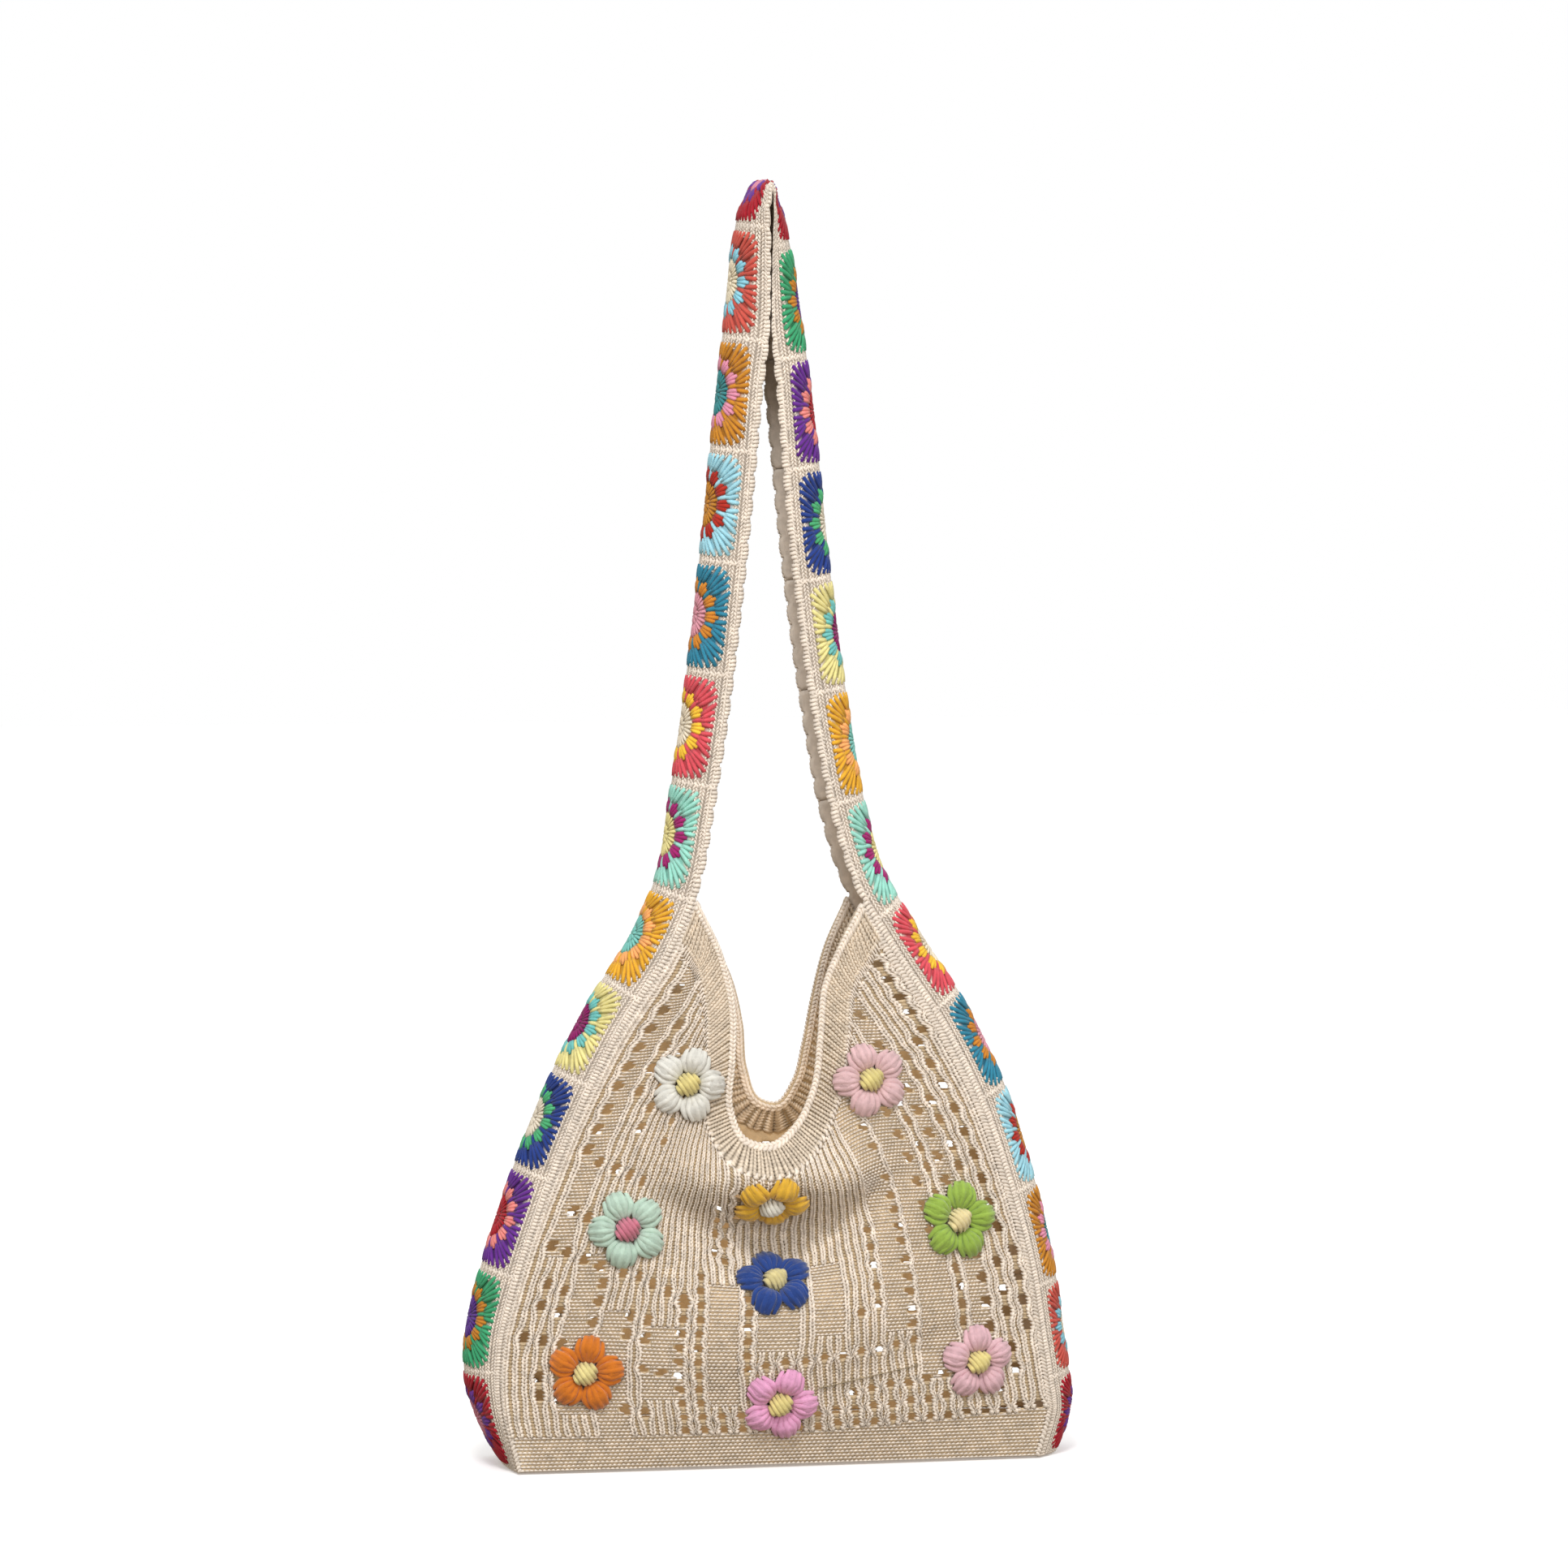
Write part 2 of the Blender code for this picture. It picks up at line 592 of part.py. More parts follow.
def make_base():
    """The base: a flat knitted floor whose ends fit inside the band, with a wall turned up front and back."""
    sunk = 0.4 * PANEL_WALL  # how far the floor's edges run into the walls, which a union joins
    reach = HALF_BAND - BAND_WALL
    across = np.linspace(-reach, reach, 9)
    ends = [band_point(at, across, -(BAND_WALL + SEAM_GAP)) for at in (0.0, BAND_LENGTH)]
    u_lines = np.linspace(-1, 1, 9)
    front_line = panel_sheet(FRONT, u_lines, 0) + [0, PANEL_WALL - sunk, 0]
    back_line = panel_sheet(BACK, u_lines, 0) - [0, PANEL_WALL - sunk, 0]
    inset = slice(1, -1)
    outline = np.concatenate([front_line[inset], ends[1][inset], back_line[::-1][inset], ends[0][::-1][inset]])
    mesh = bmesh.new()
    floor = mesh.faces.new([mesh.verts.new((x, y, 0)) for x, y, _ in outline])
    raised = bmesh.ops.extrude_face_region(mesh, geom=[floor])["geom"]
    for vertex in (v for v in raised if isinstance(v, bmesh.types.BMVert)):
        vertex.co.z = PANEL_WALL
    base = finish_object("base", mesh, CREAM)
    for side, name in ((FRONT, "base_front_wall"), (BACK, "base_back_wall")):
        u_lines = np.linspace(-1, 1, BASE_LINES)
        v = np.stack([rise_of(side, u_lines, distance) for distance in (BASE_CREASE, BASE_RISE)], axis=1)
        points, normals = panel_face(side, u_lines[:, None], v)
        wall = wall_mesh(points, points - PANEL_WALL * normals, grid_cells(BASE_LINES, 2))
        wall = finish_object(name, wall, CREAM)
        wall.hide_render = True
        wall.display_type = "WIRE"
        union = base.modifiers.new(name, "BOOLEAN")
        union.operation = "UNION"
        union.solver = "EXACT"
        union.object = wall
    return base


# The flowers


class Bed:
    """The cloth under a flower: a plane that touches it, and how far the cloth stands above each spot of the plane."""

    def __init__(self, cloth, across, height, radius):
        self.cloth = cloth
        start = Vector((across * BAG_WIDTH / 2, -BAG_WIDTH, height * BAG_HEIGHT - HANG_HEIGHT))
        depths, normals = [], []
        for k in range(24):
            reach = (0.4, 0.75)[k % 2] * radius
            shift = Vector((math.cos(k * math.pi / 12), 0, math.sin(k * math.pi / 12))) * reach
            spot, normal, _, _ = cloth.ray_cast(start + shift, Vector((0, 1, 0)))
            if spot and spot.y < 0:
                depths.append(spot.y)
                normals.append(normal * (-1 if normal.y > 0 else 1))
        self.middle = Vector((start.x, sum(depths) / len(depths), start.z))
        self.normal = sum(normals, Vector()).normalized()
        self.right = Vector((0, 0, -1)).cross(self.normal).normalized()
        self.up = self.normal.cross(self.right) * -1
        self.spots = np.linspace(-1.15 * radius, 1.15 * radius, 31)
        self.heights = np.array([[self.cloth_height(a, b) for b in self.spots] for a in self.spots])

    def cloth_height(self, a, b):
        above = self.middle + self.right * a + self.up * b + self.normal * BAND_WIDTH
        hit, _, _, distance = self.cloth.ray_cast(above, -self.normal)
        return BAND_WIDTH - distance if hit and distance < 1.4 * BAND_WIDTH else -BAND_WIDTH

    def point(self, a, b, rise):
        """The point this far above the cloth's highest spot near a, b."""
        near = np.hypot(self.spots[:, None] - a, self.spots[None, :] - b) < FLOWER_BRIDGE
        lift = max(self.heights[near].max(), -FLOWER_HEIGHT)
        return self.middle + self.right * a + self.up * b + self.normal * (lift + rise)


def ring_solid(rings, bed, turn, lift, closed):
    """A solid of rings round the flower's middle: (radius, height) arrays. The last joins the first, or a top point."""
    mesh = bmesh.new()
    made = []
    for radius, height in rings:
        angles = turn + 2 * math.pi * np.arange(len(radius)) / len(radius)
        spots = zip(radius * np.cos(angles), radius * np.sin(angles), height)
        made.append([mesh.verts.new(bed.point(a, b, h + lift)) for a, b, h in spots])
    pairs = list(zip(made, made[1:]))
    if closed:
        top = mesh.verts.new(bed.point(0, 0, CENTRE_HEIGHT + lift))
        for k in range(len(made[-1])):
            mesh.faces.new([made[-1][k - 1], made[-1][k], top])
        mesh.faces.new(made[0])
    else:
        pairs.append((made[-1], made[0]))
    for low, high in pairs:
        for k in range(len(low)):
            mesh.faces.new([low[k - 1], low[k], high[k], high[k - 1]])
    return mesh


def make_flower(row, cloth):
    """A flower on the front: a ring of five puffed petals and a domed centre in its middle."""
    name, across, height, turn, size, petal_colour, centre_colour = row
    radius = FLOWER_RADIUS * size
    bed = Bed(cloth, across, height, radius)
    lobe = (np.arange(3 * PETALS) % 3 > 0).astype(float)  # 0 between two petals, 1 on both corners of a petal
    hole = np.full(3 * PETALS, CENTRE_RADIUS + CENTRE_GAP)
    petals = (
        (hole, 0 * lobe),
        (hole, 0.4 * FLOWER_HEIGHT + 0 * lobe),
        (radius * (0.56 + 0.10 * lobe), FLOWER_HEIGHT * (0.72 + 0.28 * lobe)),
        (radius * (0.80 + 0.20 * lobe), 0.45 * FLOWER_HEIGHT * (0.8 + 0.2 * lobe)),
        (radius * (0.77 + 0.18 * lobe), 0 * lobe),
    )
    eight = np.ones(8)
    centre = [(share * CENTRE_RADIUS * eight, rise * CENTRE_HEIGHT * eight) for share, rise in CENTRE_DOME]
    for kind, rings, colour in (("petals", petals, petal_colour), ("centre", centre, centre_colour)):
        lift = 0.0
        touching = True
        while touching and lift < FLOWER_HEIGHT:
            mesh = ring_solid(rings, bed, math.radians(turn), lift, kind == "centre")
            touching = BVHTree.FromBMesh(mesh).overlap(cloth)
            mesh.free()
            lift += FLOWER_LIFT
        mesh = ring_solid(rings, bed, math.radians(turn), lift, kind == "centre")
        for vertex in mesh.verts:
            vertex.co.z += HANG_HEIGHT
        finish_object(f"flower_{name}_{kind}", mesh, colour)


def tree_of(pieces):
    """The faces of these pieces, to cast rays at."""
    points, faces = [], []
    graph = bpy.context.evaluated_depsgraph_get()
    for piece in pieces:
        data = piece.evaluated_get(graph).data
        faces += [[len(points) + i for i in face.vertices] for face in data.polygons]
        points += [vertex.co.copy() for vertex in data.vertices]
    return BVHTree.FromPolygons(points, faces)


def main():
    for old in list(bpy.data.objects):
        bpy.data.objects.remove(old)
    squares = [make_square(number) for number in range(SQUARE_COUNT)]
    front = make_panel(FRONT, "front_panel")
    make_panel(BACK, "back_panel")
    neckband = make_neckband(FRONT, "front_neckband")
    make_neckband(BACK, "back_neckband")
    base = make_base()
    cloth = tree_of([front, neckband, base] + squares)
    for row in FLOWERS:
        make_flower(row, cloth)


main()
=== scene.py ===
import json
import math

import bpy
import numpy as np
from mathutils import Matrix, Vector

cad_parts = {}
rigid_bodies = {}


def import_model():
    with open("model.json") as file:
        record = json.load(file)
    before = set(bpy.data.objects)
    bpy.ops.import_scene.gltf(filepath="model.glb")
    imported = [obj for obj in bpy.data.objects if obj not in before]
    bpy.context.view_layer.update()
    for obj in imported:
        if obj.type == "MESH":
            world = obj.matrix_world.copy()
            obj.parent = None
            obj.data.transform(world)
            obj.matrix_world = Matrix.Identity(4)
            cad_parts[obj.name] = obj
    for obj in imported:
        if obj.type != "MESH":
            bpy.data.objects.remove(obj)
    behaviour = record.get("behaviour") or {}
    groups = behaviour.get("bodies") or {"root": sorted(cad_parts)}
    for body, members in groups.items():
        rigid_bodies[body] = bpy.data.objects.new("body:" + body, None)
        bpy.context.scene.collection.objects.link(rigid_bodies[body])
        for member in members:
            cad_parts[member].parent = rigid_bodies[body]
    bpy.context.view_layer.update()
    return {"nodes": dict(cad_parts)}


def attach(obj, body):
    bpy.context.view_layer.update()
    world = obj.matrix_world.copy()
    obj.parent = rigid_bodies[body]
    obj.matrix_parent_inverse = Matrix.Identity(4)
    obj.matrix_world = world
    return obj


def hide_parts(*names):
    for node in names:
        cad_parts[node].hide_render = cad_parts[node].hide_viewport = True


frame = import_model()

# The band. One long band of cotton is the side of the bag at both ends and, between them, the
# shoulder strap. It curls as it hangs, and every other piece is sewn to its two long edges.

BAG_WIDTH = 0.404
BAG_HEIGHT = 0.842
BAND_WIDTH = 0.082
BAND_WALL = 0.003
HALF_BAND = BAND_WIDTH / 2
HANG_HEIGHT = BAG_HEIGHT - BAND_WALL  # height of the frame's origin above the base
STRAP_START = 0.4525  # height of the strap's foot, as a share of BAG_HEIGHT

# Each row: distance from the middle to the left and to the right as shares of half BAG_WIDTH, height as
# a share of BAG_HEIGHT, and half the angle, in degrees, that the band curls through on the left and right.
BAND_OUTLINE = (
    (0.865, 0.975, 0.0000, 14, 54),
    (0.947, 1.025, 0.0355, 40, 60),
    (0.985, 1.015, 0.0672, 58, 64),
    (0.985, 0.997, 0.0989, 64, 66),
    (0.923, 0.955, 0.1623, 68, 68),
    (0.835, 0.888, 0.2258, 74, 74),
    (0.730, 0.802, 0.2892, 79, 80),
    (0.598, 0.675, 0.3526, 82, 86),
    (0.432, 0.506, 0.4160, 85, 88),
    (0.352, 0.398, 0.4604, 87, 89),
    (0.316, 0.335, 0.5112, 98, 98),
    (0.276, 0.287, 0.5746, 106, 106),
    (0.212, 0.214, 0.7014, 110, 110),
    (0.158, 0.158, 0.8283, 98, 98),
    (0.127, 0.121, 0.8917, 76, 76),
    (0.096, 0.079, 0.9551, 45, 45),
    (0.071, 0.053, 0.9805, 24, 24),
    (0.000, 0.000, 1.0000, 8, 8),
)


def smoothstep(share):
    """0 below 0, 1 above 1, and the S-curve 3 s squared - 2 s cubed between."""
    share = np.clip(share, 0, 1)
    return share * share * (3 - 2 * share)


def curve_through(knots, values, at):
    """A cubic Hermite curve through the values at the knots, its slope at each taken from both neighbours."""
    slopes = np.gradient(values, knots, axis=0)
    i = np.clip(np.searchsorted(knots, at) - 1, 0, len(knots) - 2)
    step = (knots[i + 1] - knots[i])[:, None]
    t = ((at - knots[i]) / (knots[i + 1] - knots[i]))[:, None]
    start = values[i] * (1 + 2 * t) * (1 - t) ** 2 + slopes[i] * step * t * (1 - t) ** 2
    end = values[i + 1] * t * t * (3 - 2 * t) + slopes[i + 1] * step * t * t * (t - 1)
    return start + end


def chord_lengths(points):
    """Distance along a line of points: the running sum of its steps' lengths."""
    steps = np.linalg.norm(np.diff(points, axis=0), axis=1)
    return np.concatenate([[0], np.cumsum(steps)])


def read_columns(at, knots, rows):
    """Each column of these rows at at, read straight between its knots."""
    return np.stack([np.interp(at, knots, column) for column in rows.T], axis=-1)


def evenly_along(points, count):
    """The smooth curve through these points, read again at count even distances along it."""
    knots = chord_lengths(points[:, :2])
    fine = curve_through(knots, points, np.linspace(0, knots[-1], 40 * count))
    along = chord_lengths(fine[:, :2])
    even = np.linspace(0, along[-1], count)
    return even, read_columns(even, along, fine)


def band_line():
    """The band's middle line from the left foot over the top to the right foot: distances along it,
    points (x, z), outward normals, which are level at both feet, and half curl angles."""
    rows = np.array(BAND_OUTLINE, float)
    sizes = [BAG_WIDTH / 2, BAG_HEIGHT, 1]
    left = rows[:, [0, 2, 3]] * sizes * [-1, 1, 1]
    right = rows[-2::-1, [1, 2, 4]] * sizes
    along, line = evenly_along(np.concatenate([left, right]), 2001)
    heading = np.gradient(line[:, :2], along, axis=0)
    outward = np.stack([-heading[:, 1], heading[:, 0]], axis=1)
    level = np.stack([np.sign(line[:, 0]), np.zeros(len(line))], axis=1)
    free = smoothstep(np.minimum(along, along[-1] - along) / HALF_BAND)[:, None]
    outward = outward * free + level * (1 - free)
    outward /= np.linalg.norm(outward, axis=1)[:, None]
    return along, line[:, :2], outward, np.radians(line[:, 2])


BAND_ALONG, BAND_POINTS, BAND_OUTWARD, BAND_CURL = band_line()
BAND_LENGTH = BAND_ALONG[-1]


def at_band(along, values):
    """Values of the band's line at these distances along it, read straight between its samples."""
    if values.ndim == 1:
        return np.interp(along, BAND_ALONG, values)
    return read_columns(along, BAND_ALONG, values)


def band_point(along, across, lift=0.0):
    """Points on the band, across from its front edge, -HALF_BAND, to its back edge.

    The section is an arc of constant length: radius = half width / half curl, angle = across / radius.
    lift is the distance outside the outer face.
    """
    curl = at_band(along, BAND_CURL)
    radius = HALF_BAND / curl
    angle = curl * across / HALF_BAND
    middle, outward = at_band(along, BAND_POINTS), at_band(along, BAND_OUTWARD)
    inward = radius * (1 - np.cos(angle)) - lift * np.cos(angle)
    x = middle[..., 0] - outward[..., 0] * inward
    z = middle[..., 1] - outward[..., 1] * inward
    y = (radius + lift) * np.sin(angle)
    return np.stack([x, y, z], axis=-1)


# The crocheted squares. Each is worked in rounds from its middle, in cotton of three colours and then
# cream, and the squares are joined by their cream borders. Above the bag the borders end in shells.

SQUARE_COUNT = 25
SQUARE_NAMES = [f"square_{k + 1:02d}" for k in range(SQUARE_COUNT)]
NOMINAL_LENGTH = 0.0726  # of a square along the band, as it is worked
SCALLOPS_PER_SQUARE = 5
SCALLOP_DEPTH = 0.0024
SQUARE_GAP = 0.00015
SEAM_GAP = 0.0008
SQUARE_SINK = 0.0009  # how far the stitches' ground lies under the band's outer face
SQUARE_GROUND = 0.0015  # thickness of that ground

# Each row: share of the way along the band, length of a square there as a share of the average.
SQUARE_STRETCH = (
    (0.00, 0.98),
    (0.22, 0.96),
    (0.28, 1.03),
    (0.47, 1.03),
    (0.50, 1.18),
    (0.53, 1.03),
    (0.74, 1.03),
    (0.86, 0.98),
    (0.93, 0.90),
    (1.00, 0.74),
)

# Cotton colours of the squares in the order in which they repeat along the band. Each row: the record's
# slot, and the colours of the round of points, of the ring and of the middle disc.
SQUARE_YARNS = (
    ("crimson", "A8202E", "6F3C96", "D98CA2"),
    ("leaf_green", "3FA271", "C4822C", "5E3590"),
    ("violet", "67308F", "E88C86", "B02430"),
    ("navy", "2A4188", "4FAE77", "E6DCC8"),
    ("pale_yellow", "E6DC96", "74C3BF", "8E1F66"),
    ("apricot", "E5AC34", "F5B06C", "7FC8BE"),
    ("aqua", "9BD8C8", "A3286F", "EBE09C"),
    ("coral", "DA5560", "EFC23E", "E9DDC6"),
    ("teal", "34849F", "CF8630", "DC9AA8"),
    ("sky", "A2D6E4", "B03024", "C4852F"),
    ("ochre", "C8872C", "DE93AC", "3F8F93"),
    ("terracotta", "C9584C", "8CCBDC", "EADFC4"),
)
CREAM = "ECE0D2"
# Painted shade: a darker, warmer tan of the cream. It colours the cloth under the stitches and what lies in
# the gaps between them, where shade falls.
PAINTED_SHADE_HEX = "D3BD9B"

# A square's rounds: two of the disc, the ring of clusters, and the stems between the clusters, on which
# the points grow. Each row: yarn (0 points, 1 ring, 2 disc), clusters round the square, stitches in a
# cluster, inner and outer radius, how far a cluster's stitches spread at their inner and outer ends as
# shares of its room, a stitch's width and height, how much shorter a cluster's outer stitches are, and
# the round's turn as a share of a cluster.
SQUARE_ROUNDS = (
    (2, 10, 1, 0.0004, 0.0074, 1.0, 1.0, 0.0034, 0.0019, 0.0, 0.0),
    (2, 28, 1, 0.0064, 0.0155, 1.0, 1.0, 0.0026, 0.0018, 0.0, 0.0),
    (1, 12, 3, 0.0151, 0.0250, 0.36, 0.48, 0.0035, 0.0028, 0.06, 0.0),
    (0, 12, 1, 0.0158, 0.0250, 0.0, 0.0, 0.0036, 0.0026, 0.0, 0.5),
)
POINTS_REACH = (0.0336, 0.0310)  # half the coloured part, along and across the band
POINTS_SQUARENESS = 8  # power of the superellipse that the points end on
POINTS = 48  # the outermost round's stitches, which end evenly round that line
POINTS_A_STEM = 4
POINTS_START = 0.0228  # their inner radius
POINTS_GATHER = 0.62  # how near one another the points of a stem start, as a share of even distances
SEEDS_A_SQUARE = 20  # how far apart the squares' random seeds are

# Width and height of a strand of the points, the cream cloth, the border and the join.
POINT_YARN = (0.0035, 0.0026)
CREAM_STRAND = (0.0022, 0.0014)
BORDER_STRAND = (0.0031, 0.0015)
JOIN_STRAND = (0.0027, 0.0016)
DISC_RADIUS, RING_RADIUS = 0.0151, 0.0215  # where the cloth under the stitches changes its colour
POINTS_SHARE = 0.84  # the same for the points, as a share of their reach
CREAM_SHARE = 0.88  # where the cream stitches start, as a share of it
CREAM_STITCH = 0.0025  # spacing of the cream stitches, both ways
BORDER_STITCH = 0.0026  # spacing of the single crochet along the border
BORDER_DEPTH = 0.0048
SLIT_REACH = 0.009  # how near the middle the strap's two sides are drawn together at the top
SLIT_PULL = 0.78
SLIT_HEIGHTS = (0.70, 0.75)


def linear_colour(hex_code):
    """An sRGB hex colour as linear red, green and blue: v / 12.92, or ((v + 0.055) / 1.055) ** 2.4."""
    v = np.array([int(hex_code[i : i + 2], 16) for i in (0, 2, 4)]) / 255
    return np.where(v <= 0.04045, v / 12.92, ((v + 0.055) / 1.055) ** 2.4)


def add_node(tree, kind, inputs=(), **settings):
    """A node with its settings; each input is a value, or a (node, socket) pair to link from."""
    node = tree.nodes.new(kind)
    for name, value in settings.items():
        setattr(node, name, value)
    for socket, value in dict(inputs).items():
        if isinstance(value, tuple) and isinstance(value[0], bpy.types.Node):
            tree.links.new(value[0].outputs[value[1]], node.inputs[socket])
        else:
            node.inputs[socket].default_value = value
    return node


def principled(name, settings):
    """A new material whose shader has these settings: the material, its node tree and the shader."""
    material = bpy.data.materials.new(name)
    material.use_nodes = True
    shader = material.node_tree.nodes["Principled BSDF"]
    for socket, value in settings.items():
        shader.inputs[socket].default_value = value
    return material, material.node_tree, shader


def cotton(name, fibre, fuzz, roughness, sheen, sheen_tint=(1, 1, 1)):
    """Spun yarn. Its colour comes from the piece's yarn attribute, a little darker and lighter from place
    to place as hand-dyed cotton is, and fine fibres of this size, in metres, roughen it."""
    settings = {"Roughness": roughness, "Specular IOR Level": 0.12}
    settings |= {"Sheen Weight": sheen, "Sheen Roughness": 0.5, "Sheen Tint": (*sheen_tint, 1)}
    material, tree, shader = principled(name, settings)
    where = add_node(tree, "ShaderNodeTexCoord")
    yarn = add_node(tree, "ShaderNodeAttribute", attribute_name="yarn")
    mottles, spots = (
        add_node(tree, "ShaderNodeTexNoise", {"Vector": (where, "Object"), "Scale": scale, "Detail": detail})
        for scale, detail in ((1 / (7 * fibre), 3.0), (1 / fibre, 2.0))
    )
    limits = {"From Min": 0.3, "From Max": 0.7, "To Min": 0.86, "To Max": 1.08}
    shade = add_node(tree, "ShaderNodeMapRange", {"Value": (mottles, "Fac"), **limits})
    dye = {0: (yarn, "Color"), "Scale": (shade, "Result")}
    tint = add_node(tree, "ShaderNodeVectorMath", dye, operation="SCALE")
    bump = add_node(tree, "ShaderNodeBump", {"Height": (spots, "Fac"), "Distance": fuzz, "Strength": 0.9})
    tree.links.new(tint.outputs["Vector"], shader.inputs["Base Color"])
    tree.links.new(bump.outputs["Normal"], shader.inputs["Normal"])
    return material


# Mercerised cotton, plied: matt with a soft sheen, fibres about 0.7 mm apart at the size they can show.
CROCHET_COTTON = cotton("plied crochet cotton", 0.0007, 0.00035, 0.88, 0.15)


def add_object(name, data):
    """An object of this data, in the scene."""
    made = bpy.data.objects.new(name, data)
    bpy.context.scene.collection.objects.link(made)
    return made


def make_piece(name, points, triangles, colours, material):
    """A smooth-shaded object at the origin from points in heights above the base, triangles, and a linear
    colour for each point. The triangles are turned round if their signed volume is below zero."""
    points = points - [0, 0, HANG_HEIGHT]
    corners = points[triangles]
    if np.linalg.det(corners - points.mean(axis=0)).sum() < 0:
        triangles = triangles[:, ::-1]
    data = bpy.data.meshes.new(name)
    data.vertices.add(len(points))
    data.vertices.foreach_set("co", points.astype(np.float32).ravel())
    data.loops.add(triangles.size)
    data.loops.foreach_set("vertex_index", triangles.astype(np.int32).ravel())
    data.polygons.add(len(triangles))
    data.polygons.foreach_set("loop_start", np.arange(0, triangles.size, 3, dtype=np.int32))
    data.update(calc_edges=True)
    data.validate()
    data.shade_smooth()
    dyes = data.color_attributes.new("yarn", "FLOAT_COLOR", "POINT")
    dyes.data.foreach_set("color", np.c_[colours, np.ones(len(points))].astype(np.float32).ravel())
    data.materials.append(material)
    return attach(add_object(name, data), "root")


def pairs(a, b):
    """Places on a surface from their two lengths, each an array or one number."""
    return np.stack(np.broadcast_arrays(a, b), axis=-1)


def rays(angle):
    """Steps of length 1 at these angles: their cosines and sines."""
    return np.stack([np.cos(angle), np.sin(angle)], axis=-1)


def grid_of(a, b):
    """Each number of a with each number of b, as two long rows."""
    return (v.ravel() for v in np.meshgrid(a, b, indexing="ij"))


def strands(place, start, end, width, height, sunk=0.3, stations=4, sides=4, tip=0.5, bow=0.0, rise=0.0):
    """Closed strands of yarn on a surface, one for each row of start and end, in the surface's two lengths.

    A strand runs straight from start to end, plus bow times the sine of the way along to its side. Its
    section is a polygon whose width and height swell from tip, a share, to the full size in the middle as
    that sine does. sunk is the share of its height under the surface, and rise lifts each station.
    """
    count = len(start)
    share = np.linspace(0, 1, stations)[None, :, None]
    arch = np.sin(np.pi * share)
    swell = tip + (1 - tip) * arch
    turn = np.pi / 2 + 2 * np.pi * np.arange(sides)[None, None, :] / sides
    run = end - start
    run = run / np.maximum(np.linalg.norm(run, axis=1), 1e-9)[:, None]
    width, height, bow = (np.broadcast_to(v, count)[:, None, None] for v in (width, height, bow))
    aside = np.cos(turn) * width / 2 * swell + bow * arch
    lift = (np.sin(turn) / 2 + 0.5 - sunk) * height * swell + rise
    a = start[:, None, None, 0] + (end - start)[:, None, None, 0] * share - run[:, None, None, 1] * aside
    b = start[:, None, None, 1] + (end - start)[:, None, None, 1] * share + run[:, None, None, 0] * aside
    points = place(a, b, np.broadcast_to(lift, a.shape)).reshape(-1, 3)
    ring = np.arange(sides)
    ahead = (ring + 1) % sides
    faces = []
    for k in range(stations - 1):
        low, high = k * sides, (k + 1) * sides
        faces += [np.c_[low + ring, low + ahead, high + ahead], np.c_[low + ring, high + ahead, high + ring]]
    fan = np.arange(1, sides - 1)
    last = (stations - 1) * sides
    faces += [np.c_[0 * fan, fan + 1, fan], np.c_[0 * fan + last, last + fan, last + fan + 1]]
    faces = np.concatenate(faces)
    each = stations * sides
    bodies = points.reshape(count, each, 3)
    corners = (bodies - bodies.mean(axis=1)[:, None])[:, faces]
    if np.linalg.det(corners).sum() < 0:
        faces = faces[:, ::-1]
    triangles = faces[None] + (np.arange(count) * each)[:, None, None]
    return points, triangles.reshape(-1, 3)


def walled(outer, inner, triangles):
    """A closed wall of two skins, with the same triangles turned round on the inner one, and a rim along
    every edge that only one triangle has."""
    count = len(outer)
    ends = np.concatenate([triangles[:, [0, 1]], triangles[:, [1, 2]], triangles[:, [2, 0]]])
    key, back = ends[:, 0] * count + ends[:, 1], ends[:, 1] * count + ends[:, 0]
    a, b = ends[~np.isin(key, back)].T
    rim = np.concatenate([np.c_[b, a, a + count], np.c_[b, a + count, b + count]])
    return np.concatenate([outer, inner]), np.concatenate([triangles, triangles[:, ::-1] + count, rim])


def grid_triangles(index, open_cells=None):
    """Two triangles for each cell of a grid of point numbers, left out where open_cells is true or where
    two of its corners are one point."""
    cells = np.stack([index[:-1, :-1], index[1:, :-1], index[1:, 1:], index[:-1, 1:]], axis=-1)
    cells = cells[~open_cells] if open_cells is not None else cells.reshape(-1, 4)
    triangles = np.concatenate([cells[:, [0, 1, 2]], cells[:, [0, 2, 3]]])
    a, b, c = triangles.T
    return triangles[(a != b) & (b != c) & (a != c)]


def wall_on(place, a, b, lifts, index=None, open_cells=None):
    """A closed wall between two lifts off a surface, over a grid of places on it. index numbers the grid's
    points, where some of them are one."""
    index = np.arange(a.size).reshape(a.shape) if index is None else index
    skins = [place(a, b, np.full(a.shape, lift)).reshape(-1, 3) for lift in lifts]
    return walled(*skins, grid_triangles(index, open_cells))


def joined(parts):
    """Several (points, triangles, colours) as one."""
    starts = np.cumsum([0] + [len(points) for points, _, _ in parts[:-1]])
    return (
        np.concatenate([points for points, _, _ in parts]),
        np.concatenate([triangles + first for (_, triangles, _), first in zip(parts, starts)]),
        np.concatenate([colours for _, _, colours in parts]),
    )


def dyed_strands(place, start, end, width, height, colour, spread, seed, **how):
    """Strands and a colour for each of their points: one hue, each strand lighter or darker by chance."""
    points, triangles = strands(place, start, end, width, height, **how)
    shade = 1 + spread * np.random.default_rng(seed).uniform(-1, 1, len(start))
    return points, triangles, np.repeat(shade, len(points) // len(start))[:, None] * colour


def square_joints():
    """Distances along the band at which the squares begin and end: the running sum of their stretches."""
    rows = np.array(SQUARE_STRETCH)
    middles = (np.arange(SQUARE_COUNT) + 0.5) / SQUARE_COUNT
    ends = np.concatenate([[0], np.cumsum(np.interp(middles, rows[:, 0], rows[:, 1]))])
    return ends / ends[-1] * BAND_LENGTH


